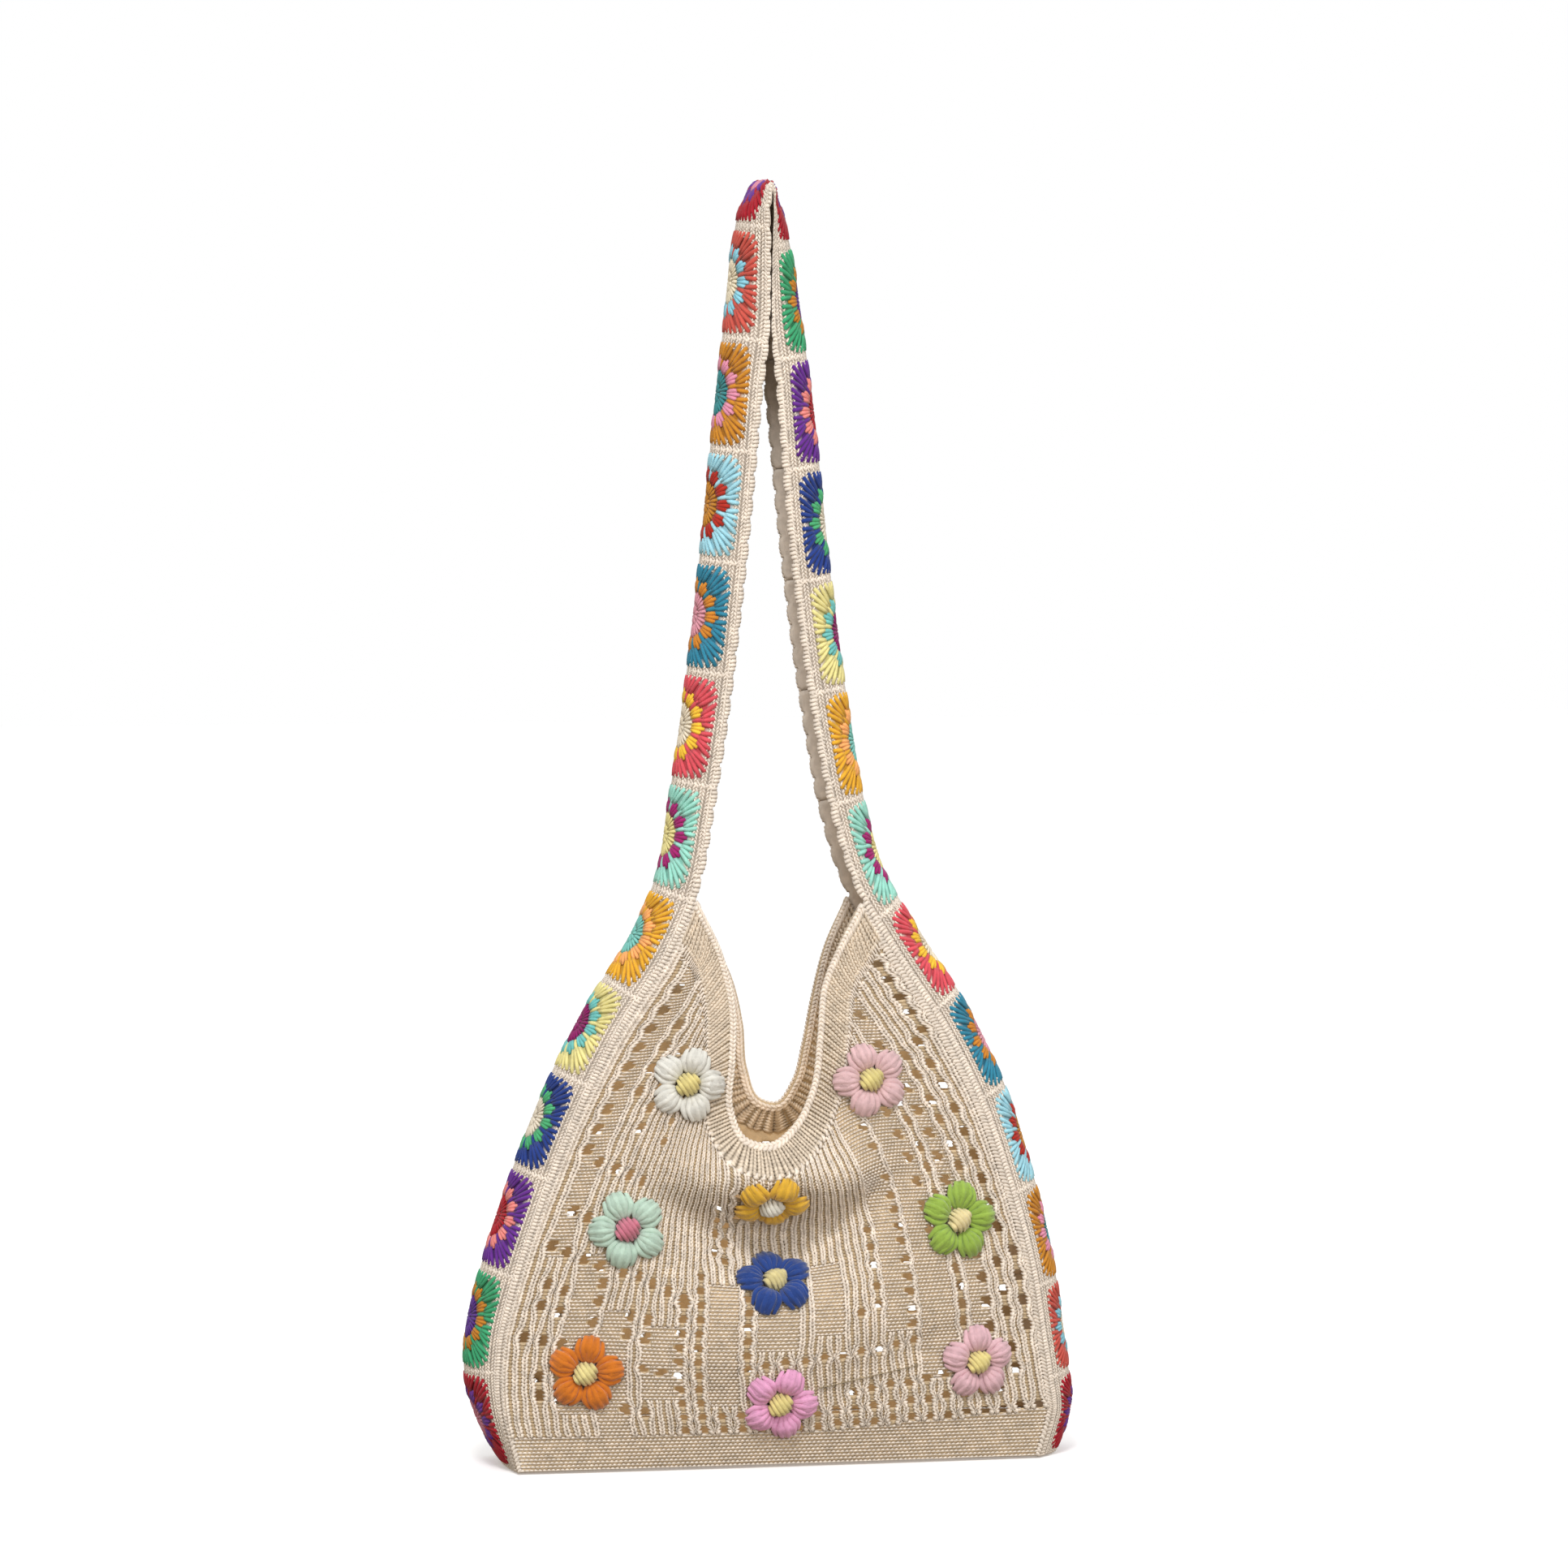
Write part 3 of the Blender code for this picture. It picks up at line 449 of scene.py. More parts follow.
def seam_length(end):
    """Length of the seam between a panel and the band, from the base's end up to the strap's foot."""
    top = np.argmax(BAND_POINTS[:, 1])
    half = slice(None, top) if end < 0 else slice(None, top, -1)
    length = np.interp(STRAP_START * BAG_HEIGHT, BAND_POINTS[half, 1], BAND_ALONG[half])
    return float(length if end < 0 else BAND_LENGTH - length)


SQUARE_JOINTS = square_joints()
SEAM_LENGTHS = {end: seam_length(end) for end in (-1, 1)}
SEAM_LENGTH = sum(SEAM_LENGTHS.values()) / 2


def strap_point(along, across, lift):
    """Points on the band, its two sides drawn together at the strap's top, where they nearly touch.

    There x shrinks by a share that is SLIT_PULL times a bell of x with SLIT_REACH as its spread.
    """
    points = band_point(along, across, lift)
    x, height = points[..., 0], points[..., 2]
    pull = SLIT_PULL * smoothstep((height - SLIT_HEIGHTS[0]) / (SLIT_HEIGHTS[1] - SLIT_HEIGHTS[0]))
    pull = pull * smoothstep((BAG_HEIGHT - 0.004 - height) / 0.012)
    points[..., 0] = x * (1 - pull * np.exp(-((x / SLIT_REACH) ** 2)))
    return points


def points_reach(angle):
    """How far from a square's middle its points reach: the radius of a superellipse at this angle."""
    along, across = POINTS_REACH
    shares = np.abs(rays(angle)) / [along, across]
    return (shares**POINTS_SQUARENESS).sum(axis=-1) ** (-1 / POINTS_SQUARENESS)


def points_ends():
    """The points' outer ends, in order round the square: even distances along the superellipse."""
    angle = np.linspace(0, 2 * np.pi, 1441)
    line = rays(angle) * points_reach(angle)[:, None]
    along = chord_lengths(line)
    even = (np.arange(POINTS) + 0.5) / POINTS * along[-1]
    return read_columns(even, along, line)


POINT_ENDS = points_ends()


def border_edge(p, along):
    """Half width of the band at p, from -1 to 1 along a square. Past the seams the border ends in shells:
    the edge swells from each notch as the square root of the sine between two notches."""
    shell = np.sqrt(np.abs(np.sin(np.pi * SCALLOPS_PER_SQUARE * (p + 1) / 2)))
    free = (along > SEAM_LENGTHS[-1]) & (along < BAND_LENGTH - SEAM_LENGTHS[1])
    return HALF_BAND - SCALLOP_DEPTH * (1 - shell) * free


def square_stitches(number, yarns, middle, half_length):
    """The stitches of a square, in the order in which they are worked: its rounds, each stitch a strand
    from the inner to the outer radius, the points, which fan out from the stems, the cream cloth round
    them, the border's single crochet, and the join to the square before."""

    def place(a, b, lift):
        return strap_point(middle + a * half_length / (NOMINAL_LENGTH / 2), b, lift - SQUARE_SINK)

    parts, seed = [], number * SEEDS_A_SQUARE
    for row, values in enumerate(SQUARE_ROUNDS):
        yarn, clusters, stitches, near, far, gather, spread, width, height, shorter, turn = values
        cluster, one = np.divmod(np.arange(clusters * stitches), stitches)
        side = (one - (stitches - 1) / 2) / ((stitches - 1) / 2 if stitches > 1 else 1)
        room = 2 * np.pi / clusters
        base = (cluster + turn) * room
        reach = far * (1 - shorter * np.abs(side))
        start = rays(base + side * room * gather / 2) * near
        end = rays(base + side * room * spread / 2) * reach[:, None]
        how = {"sunk": 0.2, "tip": 0.66}
        parts.append(dyed_strands(place, start, end, width, height, yarns[yarn], 0.07, seed + row, **how))
    stem, one = np.divmod(np.arange(POINTS), POINTS_A_STEM)
    one = (one - (POINTS_A_STEM - 1) / 2) * POINTS_GATHER
    angle = (stem * POINTS_A_STEM + POINTS_A_STEM / 2 + one) / POINTS * 2 * np.pi
    start = rays(angle) * POINTS_START
    end = POINT_ENDS * (1 - 0.03 * np.random.default_rng(number).random((POINTS, 1)))
    parts.append(dyed_strands(place, start, end, *POINT_YARN, yarns[0], 0.07, seed + 7, sunk=0.2, tip=0.8))
    across = HALF_BAND - BORDER_DEPTH
    a = np.arange(-NOMINAL_LENGTH / 2 + CREAM_STITCH / 2, NOMINAL_LENGTH / 2, CREAM_STITCH)
    b = np.linspace(-across, across, round(2 * across / CREAM_STITCH) + 1)
    row = np.tile(np.arange(len(b)), len(a))
    a, b = grid_of(a, b)
    a = a + CREAM_STITCH / 4 * np.where(row % 2 == 0, 1, -1)
    outside = np.hypot(a, b) > CREAM_SHARE * points_reach(np.arctan2(b, a))
    a, b, slant = a[outside], b[outside], np.where(row[outside] % 2 == 0, 0.0006, -0.0006)
    start, end = pairs(a - 0.0013, b - slant), pairs(a + 0.0013, b + slant)
    how = {"sunk": 0.25, "stations": 2, "sides": 3, "tip": 1.0}
    parts.append(dyed_strands(place, start, end, *CREAM_STRAND, yarns[3], 0.08, seed + 9, **how))
    for edge in (-1, 1):
        count = round(NOMINAL_LENGTH / BORDER_STITCH)
        p = (np.arange(count) + 0.5) / count * 2 - 1
        outer = border_edge(p, middle + p * half_length)
        start = pairs(p * NOMINAL_LENGTH / 2, edge * (outer - BORDER_DEPTH - 0.0010))
        end = pairs(p * NOMINAL_LENGTH / 2 + 0.0008, edge * (outer - 0.0002))
        how = {"sunk": 0.4, "stations": 3, "tip": 0.85}
        parts.append(dyed_strands(place, start, end, *BORDER_STRAND, yarns[3], 0.08, seed + 11 + edge, **how))
    if number:
        count = round((BAND_WIDTH - 0.004) / BORDER_STITCH)
        b = (np.arange(count) + 0.5) / count * (BAND_WIDTH - 0.004) - HALF_BAND + 0.002
        start = pairs(-NOMINAL_LENGTH / 2 - 0.0016, b - 0.0005)
        end = pairs(-NOMINAL_LENGTH / 2 + 0.0016, b + 0.0005)
        how = {"sunk": 0.4, "stations": 3, "tip": 0.7}
        parts.append(dyed_strands(place, start, end, *JOIN_STRAND, yarns[3], 0.08, seed + 15, **how))
    return joined(parts)


def square_ground(yarns, middle, half_length):
    """The cloth under a square's stitches: a closed wall coloured in rings by distance from the middle, in
    painted shade.
    """
    p, q = np.linspace(-1, 1, 26)[:, None], np.linspace(-1, 1, 26)[None, :]
    along = middle + p * (half_length - SQUARE_GAP)
    across = q * (border_edge(p, along) - 0.0004)
    depths = (-SQUARE_SINK, -SQUARE_SINK - SQUARE_GROUND)
    points, triangles = wall_on(strap_point, along + 0 * q, across, depths)
    radius = np.hypot(p * NOMINAL_LENGTH / 2, across).ravel()
    angle = np.arctan2(across, p * NOMINAL_LENGTH / 2).ravel()
    limits = (DISC_RADIUS, RING_RADIUS, POINTS_SHARE * points_reach(angle))
    ring = np.select([radius < limit for limit in limits], [2, 1, 0], 3)
    # Painted shade: the rings are a quarter darker than their yarns, for the gaps between the stitches, and
    # the inner skin is cream a tenth darker, for the shade inside the band.
    colours = np.stack(yarns)[ring] * 0.75
    return points, triangles, np.concatenate([colours, 0 * colours + yarns[3] * 0.9])


def dressed(node, kind, ground, stitches, material, slot):
    """The cloth that replaces a CAD node and the stitches on it, both with this material; slot is not used.
    """
    cloth = make_piece(f"{node}_{kind}", *ground, material)
    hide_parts(node)
    worked = make_piece(f"{node}_stitches", *stitches, material)
    return cloth, worked


CREAM_YARN = linear_colour(CREAM)
for number, name in enumerate(SQUARE_NAMES):
    start, end = SQUARE_JOINTS[number : number + 2]
    middle, half_length = (start + end) / 2, (end - start) / 2
    slot, *dyes = SQUARE_YARNS[number % len(SQUARE_YARNS)]
    yarns = [linear_colour(code) for code in dyes] + [CREAM_YARN]
    ground = square_ground(yarns, middle, half_length)
    stitches = square_stitches(number, yarns, middle, half_length)
    square, stitches = dressed(name, "cloth", ground, stitches, CROCHET_COTTON, slot + "_yarn")

# The panels. The front and the back are knitted in openwork: smooth ribs with purl stitches and eyelets
# between them, in cream cotton. The front folds into a valley under its neck, as the bag hangs slack.

PANEL_WALL = 0.0025
NECKBAND_WALL = 0.0032
NECKBAND_WIDTH = 0.020
CORNER_REACH = 1.25
NECK_CROWDING = 0.45
BASE_RISE = 0.022
FRONT_NECK_HEIGHT = 0.213
BACK_NECK_HEIGHT = 0.231
FRONT, BACK = -1, 1

# The necklines. Each row: place between the left corner, -1, and the right one, 1, and height between
# the lowest point, 0, and the corners, 1.
FRONT_NECKLINE = (
    (-1.00, 1.00),
    (-0.70, 0.78),
    (-0.56, 0.56),
    (-0.57, 0.34),
    (-0.60, 0.14),
    (-0.44, 0.02),
    (-0.16, 0.00),
    (0.14, 0.07),
    (0.36, 0.22),
    (0.45, 0.44),
    (0.52, 0.66),
    (0.72, 0.82),
    (1.00, 1.00),
)
BACK_NECKLINE = (
    (-1.00, 1.00),
    (-0.66, 0.80),
    (-0.40, 0.60),
    (-0.26, 0.38),
    (-0.20, 0.16),
    (-0.04, 0.02),
    (0.16, 0.00),
    (0.36, 0.10),
    (0.48, 0.28),
    (0.58, 0.50),
    (0.74, 0.76),
    (1.00, 1.00),
)

# How far a panel stands out from its seams. Each row: share of the way up to the neckband, 1, and across
# it to the neckline, 2; share of BAND_WIDTH.
PANEL_FULLNESS = (
    (0.00, 0.02),
    (0.10, 0.16),
    (0.25, 0.26),
    (0.45, 0.30),
    (0.70, 0.27),
    (1.00, 0.24),
    (2.00, 0.10),
)

# Folds and dents. Each row: place across as a share of half BAG_WIDTH, height as a share of
# BAG_HEIGHT, spread along and across the fold as shares of BAG_WIDTH, the fold's tilt in degrees,
# and how far it pushes the panel out, as a share of BAND_WIDTH.
FRONT_FOLDS = (
    (-0.02, 0.228, 0.130, 0.046, 0, 0.27),
    (-0.02, 0.174, 0.110, 0.058, 0, -0.34),
    (0.28, 0.200, 0.085, 0.034, 42, -0.15),
    (-0.30, 0.200, 0.075, 0.034, -38, -0.09),
    (0.02, 0.100, 0.240, 0.090, 4, 0.09),
    (0.21, 0.285, 0.095, 0.028, 80, -0.10),
    (-0.27, 0.285, 0.080, 0.030, -76, -0.07),
    (0.45, 0.090, 0.120, 0.030, 14, -0.05),
    (-0.55, 0.110, 0.090, 0.045, 70, -0.04),
    (0.62, 0.210, 0.110, 0.040, -66, -0.05),
)
BACK_FOLDS = (
    (0.05, 0.190, 0.130, 0.045, 0, -0.08),
    (-0.35, 0.235, 0.100, 0.045, -55, -0.06),
    (0.40, 0.235, 0.100, 0.045, 55, -0.06),
    (0.00, 0.100, 0.220, 0.080, 0, 0.05),
)


def seam_edge(side, end, share):
    """Where a panel's face starts at its seam with the band, SEAM_GAP beyond the band's edge along its
    curl, and the band's normal there. share runs from the base, 0, to the strap's foot, 1."""
    along = share * SEAM_LENGTHS[end]
    if end > 0:
        along = BAND_LENGTH - along
    curl, outward = at_band(along, BAND_CURL), at_band(along, BAND_OUTWARD)
    edge = band_point(along, side * HALF_BAND)
    sine, cosine = np.sin(curl), side * np.cos(curl)
    onward = np.stack([-outward[..., 0] * sine, cosine, -outward[..., 1] * sine], axis=-1)
    sine, cosine = side * np.sin(curl), np.cos(curl)
    normal = np.stack([outward[..., 0] * cosine, sine, outward[..., 1] * cosine], axis=-1)
    return edge + SEAM_GAP * onward, normal


def neck_curve(side):
    """A neckline as a smooth line of points (x, z) between its two corners: distances along it, points."""
    rows = np.array(FRONT_NECKLINE if side == FRONT else BACK_NECKLINE, float)
    low = FRONT_NECK_HEIGHT if side == FRONT else BACK_NECK_HEIGHT
    left, right = (seam_edge(side, end, np.ones(1))[0][0] for end in (-1, 1))
    share = (rows[:, 0] + 1) / 2
    x = left[0] * (1 - share) + right[0] * share
    top = left[2] * (1 - share) + right[2] * share
    return evenly_along(np.stack([x, low + rows[:, 1] * (top - low)], axis=1), 401)


NECK_CURVES = {side: neck_curve(side) for side in (FRONT, BACK)}


def neck_share(u):
    """Share of the neckline at column u: columns stand closer at the middle, as 0.45 u + 0.55 u cubed."""
    return (1 + NECK_CROWDING * u + (1 - NECK_CROWDING) * u**3) / 2


def neckline(side, u):
    """Points (x, z) of a neckline at u, from -1 at the left corner to 1 at the right."""
    along, line = NECK_CURVES[side]
    share = neck_share(np.clip(u, -1, 1)) * along[-1]
    return read_columns(share, along, line)


def below_neckline(side, u, distance):
    """Points (x, z) at this distance below a neckline, square to it but along the seams at its two ends."""
    here = neckline(side, u)
    ahead = neckline(side, u + 0.01) - neckline(side, u - 0.01)
    ahead /= np.linalg.norm(ahead, axis=-1)[..., None]
    away = np.stack([ahead[..., 1], -ahead[..., 0]], axis=-1)
    share = np.array([1 - distance * CORNER_REACH / SEAM_LENGTH])
    square_to = smoothstep((1 - np.abs(u)) / 0.16)[..., None]
    ends = []
    for end in (-1, 1):
        down, corner = seam_edge(side, end, share)[0][0], seam_edge(side, end, np.ones(1))[0][0]
        ends.append((down - corner)[[0, 2]])
    along_seam = np.where((u < 0)[..., None], ends[0], ends[1])
    return here + distance * away * square_to + along_seam * (1 - square_to)


def fold_push(side, x, z):
    """How far the folds push a panel out at x and z: a sum of tilted bell-shaped ridges and dents."""
    total = np.zeros_like(x)
    for across, height, length, width, tilt, push in FRONT_FOLDS if side == FRONT else BACK_FOLDS:
        dx, dz = x - across * BAG_WIDTH / 2, z - height * BAG_HEIGHT
        c, s = math.cos(math.radians(tilt)), math.sin(math.radians(tilt))
        along, over = dx * c + dz * s, dz * c - dx * s
        bell = np.exp(-((along / (length * BAG_WIDTH)) ** 2) - (over / (width * BAG_WIDTH)) ** 2)
        total += push * BAND_WIDTH * bell
    return total


def seam_share_at(v):
    """How far up the seam a panel's line v ends: the neckband, v from 1 to 2, takes the last of it."""
    below_band = 1 - NECKBAND_WIDTH * CORNER_REACH / SEAM_LENGTH
    return np.interp(v, (0, 1, 2), (0, below_band, 1))


def panel_sheet(side, u, v):
    """Points of a panel's outer face: u across from -1 to 1, v up each column from 0 at the base to 1 at
    the neckband, and on to 2 at the neckline.

    Seen from the front the sheet fills in between its four edges, each fading into the opposite one. Its
    depth is the seams' depth, plus the fullness, which is greatest in the middle, plus the folds, which
    fade out at the seams and the base.
    """
    u, v = np.broadcast_arrays(np.asarray(u, float), np.asarray(v, float))
    right = (u + 1) / 2
    rise = np.clip(v, 0, 1)
    band = np.clip(v - 1, 0, 1)
    seam_share = seam_share_at(v)
    left_edge, right_edge = seam_edge(side, -1, seam_share)[0], seam_edge(side, 1, seam_share)[0]
    top = below_neckline(side, u, NECKBAND_WIDTH)
    neck = neckline(side, u)
    head_share = seam_share_at(np.ones(1))
    left_head, right_head = (seam_edge(side, end, head_share)[0][0] for end in (-1, 1))
    left_corner, right_corner = (seam_edge(side, end, np.ones(1))[0][0] for end in (-1, 1))
    plane = []
    for axis, column in ((0, 0), (1, 2)):
        head = left_head[column] * (1 - right) + right_head[column] * right
        sides = left_edge[..., column] * (1 - right) + right_edge[..., column] * right
        panel = sides + rise**1.5 * (top[..., axis] - head)
        strip = top[..., axis] * (1 - band) + neck[..., axis] * band
        seam = np.where(u < 0, left_edge[..., column], right_edge[..., column])
        corner = np.where(u < 0, left_corner[column], right_corner[column])
        chord = np.where(u < 0, left_head[column], right_head[column]) * (1 - band) + corner * band
        strip += (seam - chord) * smoothstep((np.abs(u) - 0.8) / 0.2)
        plane.append(np.where(v > 1, strip, panel))
    x, z = plane
    depth = np.abs(left_edge[..., 1] * (1 - right) + right_edge[..., 1] * right)
    rows = np.array(PANEL_FULLNESS)
    fullness = np.interp(v, rows[:, 0], rows[:, 1]) * BAND_WIDTH
    fade = smoothstep((1 - np.abs(u)) / 0.22) * smoothstep(v / 0.16)
    depth = depth + fullness * (1 - np.abs(u) ** 2.4) + fade * fold_push(side, x, z)
    return np.stack([x, side * depth, z], axis=-1)


def panel_normal(side, u, v):
    """Outward normals of a panel's face: the cross product of its two slopes, turned to the band's
    normals at the seams."""
    steps = (-2e-3, 2e-3)
    left, right = (panel_sheet(side, np.clip(u + step, -1, 1), v) for step in steps)
    low, high = (panel_sheet(side, u, np.clip(v + step, 0, 2)) for step in steps)
    normal = np.cross(right - left, high - low) * -side
    normal /= np.linalg.norm(normal, axis=-1)[..., None]
    share = seam_share_at(v)
    seam = np.where((u < 0)[..., None], seam_edge(side, -1, share)[1], seam_edge(side, 1, share)[1])
    own = smoothstep((1 - np.abs(u)) / 0.12)[..., None]
    normal = normal * own + seam * (1 - own)
    return normal / np.linalg.norm(normal, axis=-1)[..., None]


# The knit's gauge: a stitch's width and height, and how many stitches cross a panel.
STITCH_WIDTH = 0.0032
STITCH_HEIGHT = 0.0024
STITCHES = 116
FIRST_COURSE = (BASE_RISE + SEAM_GAP) / STITCH_HEIGHT
UNEVENNESS = 0.00022  # how far a strand's ends stray from their places, in metres
WAVE = 0.08  # how far the ribs waver to the side, in stitches
PURL_LEAN = 0.25  # how far a purl bump leans to the side, in stitches

# Width and height of a strand of a knit stitch's leg, a purl bump, one between two ribs, and the crease's
# painted shadow.
KNIT_LEG = (0.0021, 0.0027)
PURL = (0.0025, 0.0027)
SUNKEN_PURL = (0.0018, 0.0013)
CREASE_PAINTED_SHADOW = (0.0010, 0.0042)

# Where the two faces of the knit's ground lie, from the panel's outer face outwards.
GROUND_FACE = -0.0013
GROUND_BACK = -0.0022

# Eyelets of the front, in runs that a knitter would chart. Each row: stitch and course of the run's first
# eyelet, stitch and course of its last, how many there are, and how many courses tall each is.
FRONT_EYELETS = (
    (3, 90, 3, 152, 11, 3),
    (9, 107, 9, 128, 4, 3),
    (13, 96, 13, 120, 5, 3),
    (7, 86, 19, 80, 4, 3),
    (5, 72, 9, 70, 2, 3),
    (3, 62, 37, 47, 9, 3),
    (5, 51, 9, 49, 2, 3),
    (5, 45, 9, 43, 2, 3),
    (3, 36, 11, 34, 3, 3),
    (7, 25, 11, 24, 2, 3),
    (7, 20, 11, 19, 2, 3),
    (17, 51, 17, 40, 3, 3),
    (25, 42, 29, 41, 2, 3),
    (25, 37, 29, 36, 2, 3),
    (29, 28, 33, 27, 2, 2),
    (25, 16, 29, 15, 2, 3),
    (37, 10, 37, 46, 10, 2),
    (41, 10, 41, 54, 12, 2),
    (45, 10, 57, 10, 4, 2),
    (45, 14, 57, 14, 4, 2),
    (51, 28, 51, 56, 8, 2),
    (55, 29, 83, 33, 8, 2),
    (73, 20, 93, 24, 6, 2),
    (61, 14, 105, 19, 12, 2),
    (61, 10, 113, 14, 14, 2),
    (87, 34, 87, 80, 11, 2),
    (79, 45, 79, 66, 5, 2),
    (75, 43, 75, 43, 1, 2),
    (99, 38, 99, 53, 4, 3),
    (109, 24, 109, 30, 2, 3),
    (113, 124, 113, 152, 6, 2),
    (87, 90, 87, 102, 3, 2),
    (21, 92, 21, 104, 3, 2),
    (47, 60, 49, 84, 6, 2),
    (45, 62, 45, 76, 4, 2),
    (53, 74, 53, 86, 3, 2),
)

# Nets of eyelets, every second column moved up by half a step. Each row: first and last stitch, course of
# the lowest, course of the highest, and courses from one to the next above it.
FRONT_NETS = (
    (95, 113, 64, 122, 7),
    (105, 113, 36, 60, 7),
    (99, 103, 126, 138, 7),
)

# Purl blocks of the front, where no rib runs. Each row: first and last stitch, first and last course.
FRONT_BLOCKS = (
    (43, 49, 18, 52),
    (82, 86, 38, 110),
    (90, 96, 24, 120),
    (102, 104, 24, 150),
    (12, 16, 16, 60),
    (20, 24, 10, 44),
    (30, 36, 20, 40),
    (4, 6, 60, 160),
    (54, 60, 34, 56),
    (66, 70, 38, 58),
)
GARTER_STITCHES = (58, 116)  # between these the base's garter stitch runs on above it, to the course below
GARTER_COURSES = (9, 13.5)
# The crease is drawn as a dark strand along this line: painted shadow, not a dark yarn.
RIDGE = ((66, 23), (88, 28))  # stitch and course at both ends of a thin crease that crosses the ribs
RIDGE_PIECES = 24

# Eyelets of the back: rows of them at an even spacing, in stitches and courses.
BACK_EYELET_STEP = (8, 6)


def eyelet_chart(side):
    """Stitch, course and height in courses of each eyelet. The stitch is odd, so between two ribs."""
    if side == FRONT:
        runs = [np.linspace((a, b, tall), (c, d, tall), n) for a, b, c, d, n, tall in FRONT_EYELETS]
        for first, last, low, high, step in FRONT_NETS:
            for k, stitch in enumerate(np.arange(first, last + 1, 4)):
                course = np.arange(low + step / 2 * (k % 2), high, step)
                runs.append(np.stack([0 * course + stitch, course, 0 * course + 3], axis=1))
        spots = np.concatenate(runs)
    else:
        aside, up = BACK_EYELET_STEP
        a, b = np.meshgrid(np.arange(5, STITCHES - 3, aside), np.arange(13, 150, up))
        a = a + 4 * (np.arange(a.shape[0]) % 2)[:, None]
        spots = np.stack([a, b, 0 * a + 2], axis=-1).reshape(-1, 3).astype(float)
    spots[:, 0] = 2 * np.round((spots[:, 0] - 1) / 2) + 1
    return np.unique(np.round(spots).astype(int), axis=0)


class Knit:
    """A panel's knitting: where each stitch and course lies on the panel, with its ribs spread at eyelets."""

    def __init__(self, side):
        self.side = side
        self.u = np.linspace(-1, 1, 233)
        v = np.linspace(0, 1, 241)
        columns = panel_sheet(side, self.u[:, None], v[None, :])
        steps = np.linalg.norm(np.diff(columns, axis=1), axis=2)
        length = np.concatenate([np.zeros((len(self.u), 1)), np.cumsum(steps, axis=1)], axis=1)
        self.top = length[:, -1] / STITCH_HEIGHT
        self.courses = np.linspace(0, self.top.max(), 361)
        self.v_of = np.array([np.interp(self.courses * STITCH_HEIGHT, column, v) for column in length])
        tops = np.interp(np.arange(STITCHES + 1), (self.u + 1) / 2 * STITCHES, self.top)
        spots = eyelet_chart(side)
        fits = spots[:, 1] + spots[:, 2] + 1 < np.minimum(tops[spots[:, 0]], tops[spots[:, 0] + 1])
        self.eyelets = spots[fits]

    def top_at(self, stitch):
        """Course at which the neckband starts, above this stitch."""
        return np.interp(stitch, (self.u + 1) / 2 * STITCHES, self.top)

    def spread(self, stitch, course):
        """How far the stitches are pushed aside, in stitches: away from each eyelet's middle, as x times
        a bell of the distance in both directions."""
        shift = np.zeros(stitch.shape)
        for a, b, tall in self.eyelets:
            x, y = stitch - a - 0.5, (course - b - tall / 2) / tall
            near = (np.abs(x) < 3.4) & (np.abs(y) < 1.6)
            x, y = x[near], y[near]
            shift[near] += 2.0 * x * np.exp(-((x / 1.15) ** 2) - (y / 0.72) ** 2)
        inside = smoothstep(np.minimum(stitch, STITCHES - stitch) / 4) * smoothstep(course / 14)
        waver = np.sin(0.31 * course + 1.9 * np.sin(0.23 * stitch)) + np.sin(0.83 * course - 0.47 * stitch)
        return shift + WAVE * waver * inside

    def place(self, a, b, lift):
        """Points at a metres across and b metres up the knit as it lies flat, lift off the panel's face."""
        stitch, course = a / STITCH_WIDTH, b / STITCH_HEIGHT
        stitch = stitch + self.spread(stitch, course)
        u = np.clip(stitch / STITCHES * 2 - 1, -1, 1)
        x = (u + 1) / 2 * (len(self.u) - 1)
        y = np.clip(course / self.courses[-1], 0, 1) * (len(self.courses) - 1)
        i, j = np.minimum(x.astype(int), len(self.u) - 2), np.minimum(y.astype(int), len(self.courses) - 2)
        x, y = x - i, y - j
        low = self.v_of[i, j] * (1 - x) + self.v_of[i + 1, j] * x
        high = self.v_of[i, j + 1] * (1 - x) + self.v_of[i + 1, j + 1] * x
        v = np.clip(low * (1 - y) + high * y, 0, 1)
        return panel_sheet(self.side, u, v) + np.asarray(lift)[..., None] * panel_normal(self.side, u, v)


def knit_ground(knit, first_course, last_course=None):
    """The cloth behind the stitches: a closed wall with a point at each stitch and course, cut off at
    the neckband's foot and open at the eyelets, two or three courses high and one stitch wide."""
    top = knit.top_at(np.arange(STITCHES + 1)) if last_course is None else np.full(STITCHES + 1, last_course)
    courses = np.arange(math.ceil(first_course), math.ceil(top.max()) + 1).astype(float)
    courses = np.concatenate([[first_course], courses[courses > first_course + 0.3]])
    last = np.array([np.searchsorted(courses, t) for t in top])
    row = np.minimum(np.arange(len(courses)), last[:, None])
    index = np.arange(STITCHES + 1)[:, None] * len(courses) + row
    height = np.minimum(courses[None, :], top[:, None])
    open_cells = np.zeros((STITCHES, len(courses) - 1), bool)
    for a, b, tall in knit.eyelets if last_course is None else ():
        k = np.searchsorted(courses, b)
        open_cells[a, k : k + tall] = True
    a = (np.arange(STITCHES + 1) * STITCH_WIDTH)[:, None] + 0 * height
    return wall_on(knit.place, a, height * STITCH_HEIGHT, (GROUND_FACE, GROUND_BACK), index, open_cells)


def plain(mesh, colour):
    """A mesh with the same colour at all its points."""
    return (*mesh, np.tile(colour, (len(mesh[0]), 1)))


def trimmed(points, triangles):
    """The mesh without the points that no triangle uses."""
    used, index = np.unique(triangles, return_inverse=True)
    return points[used], index.reshape(triangles.shape)


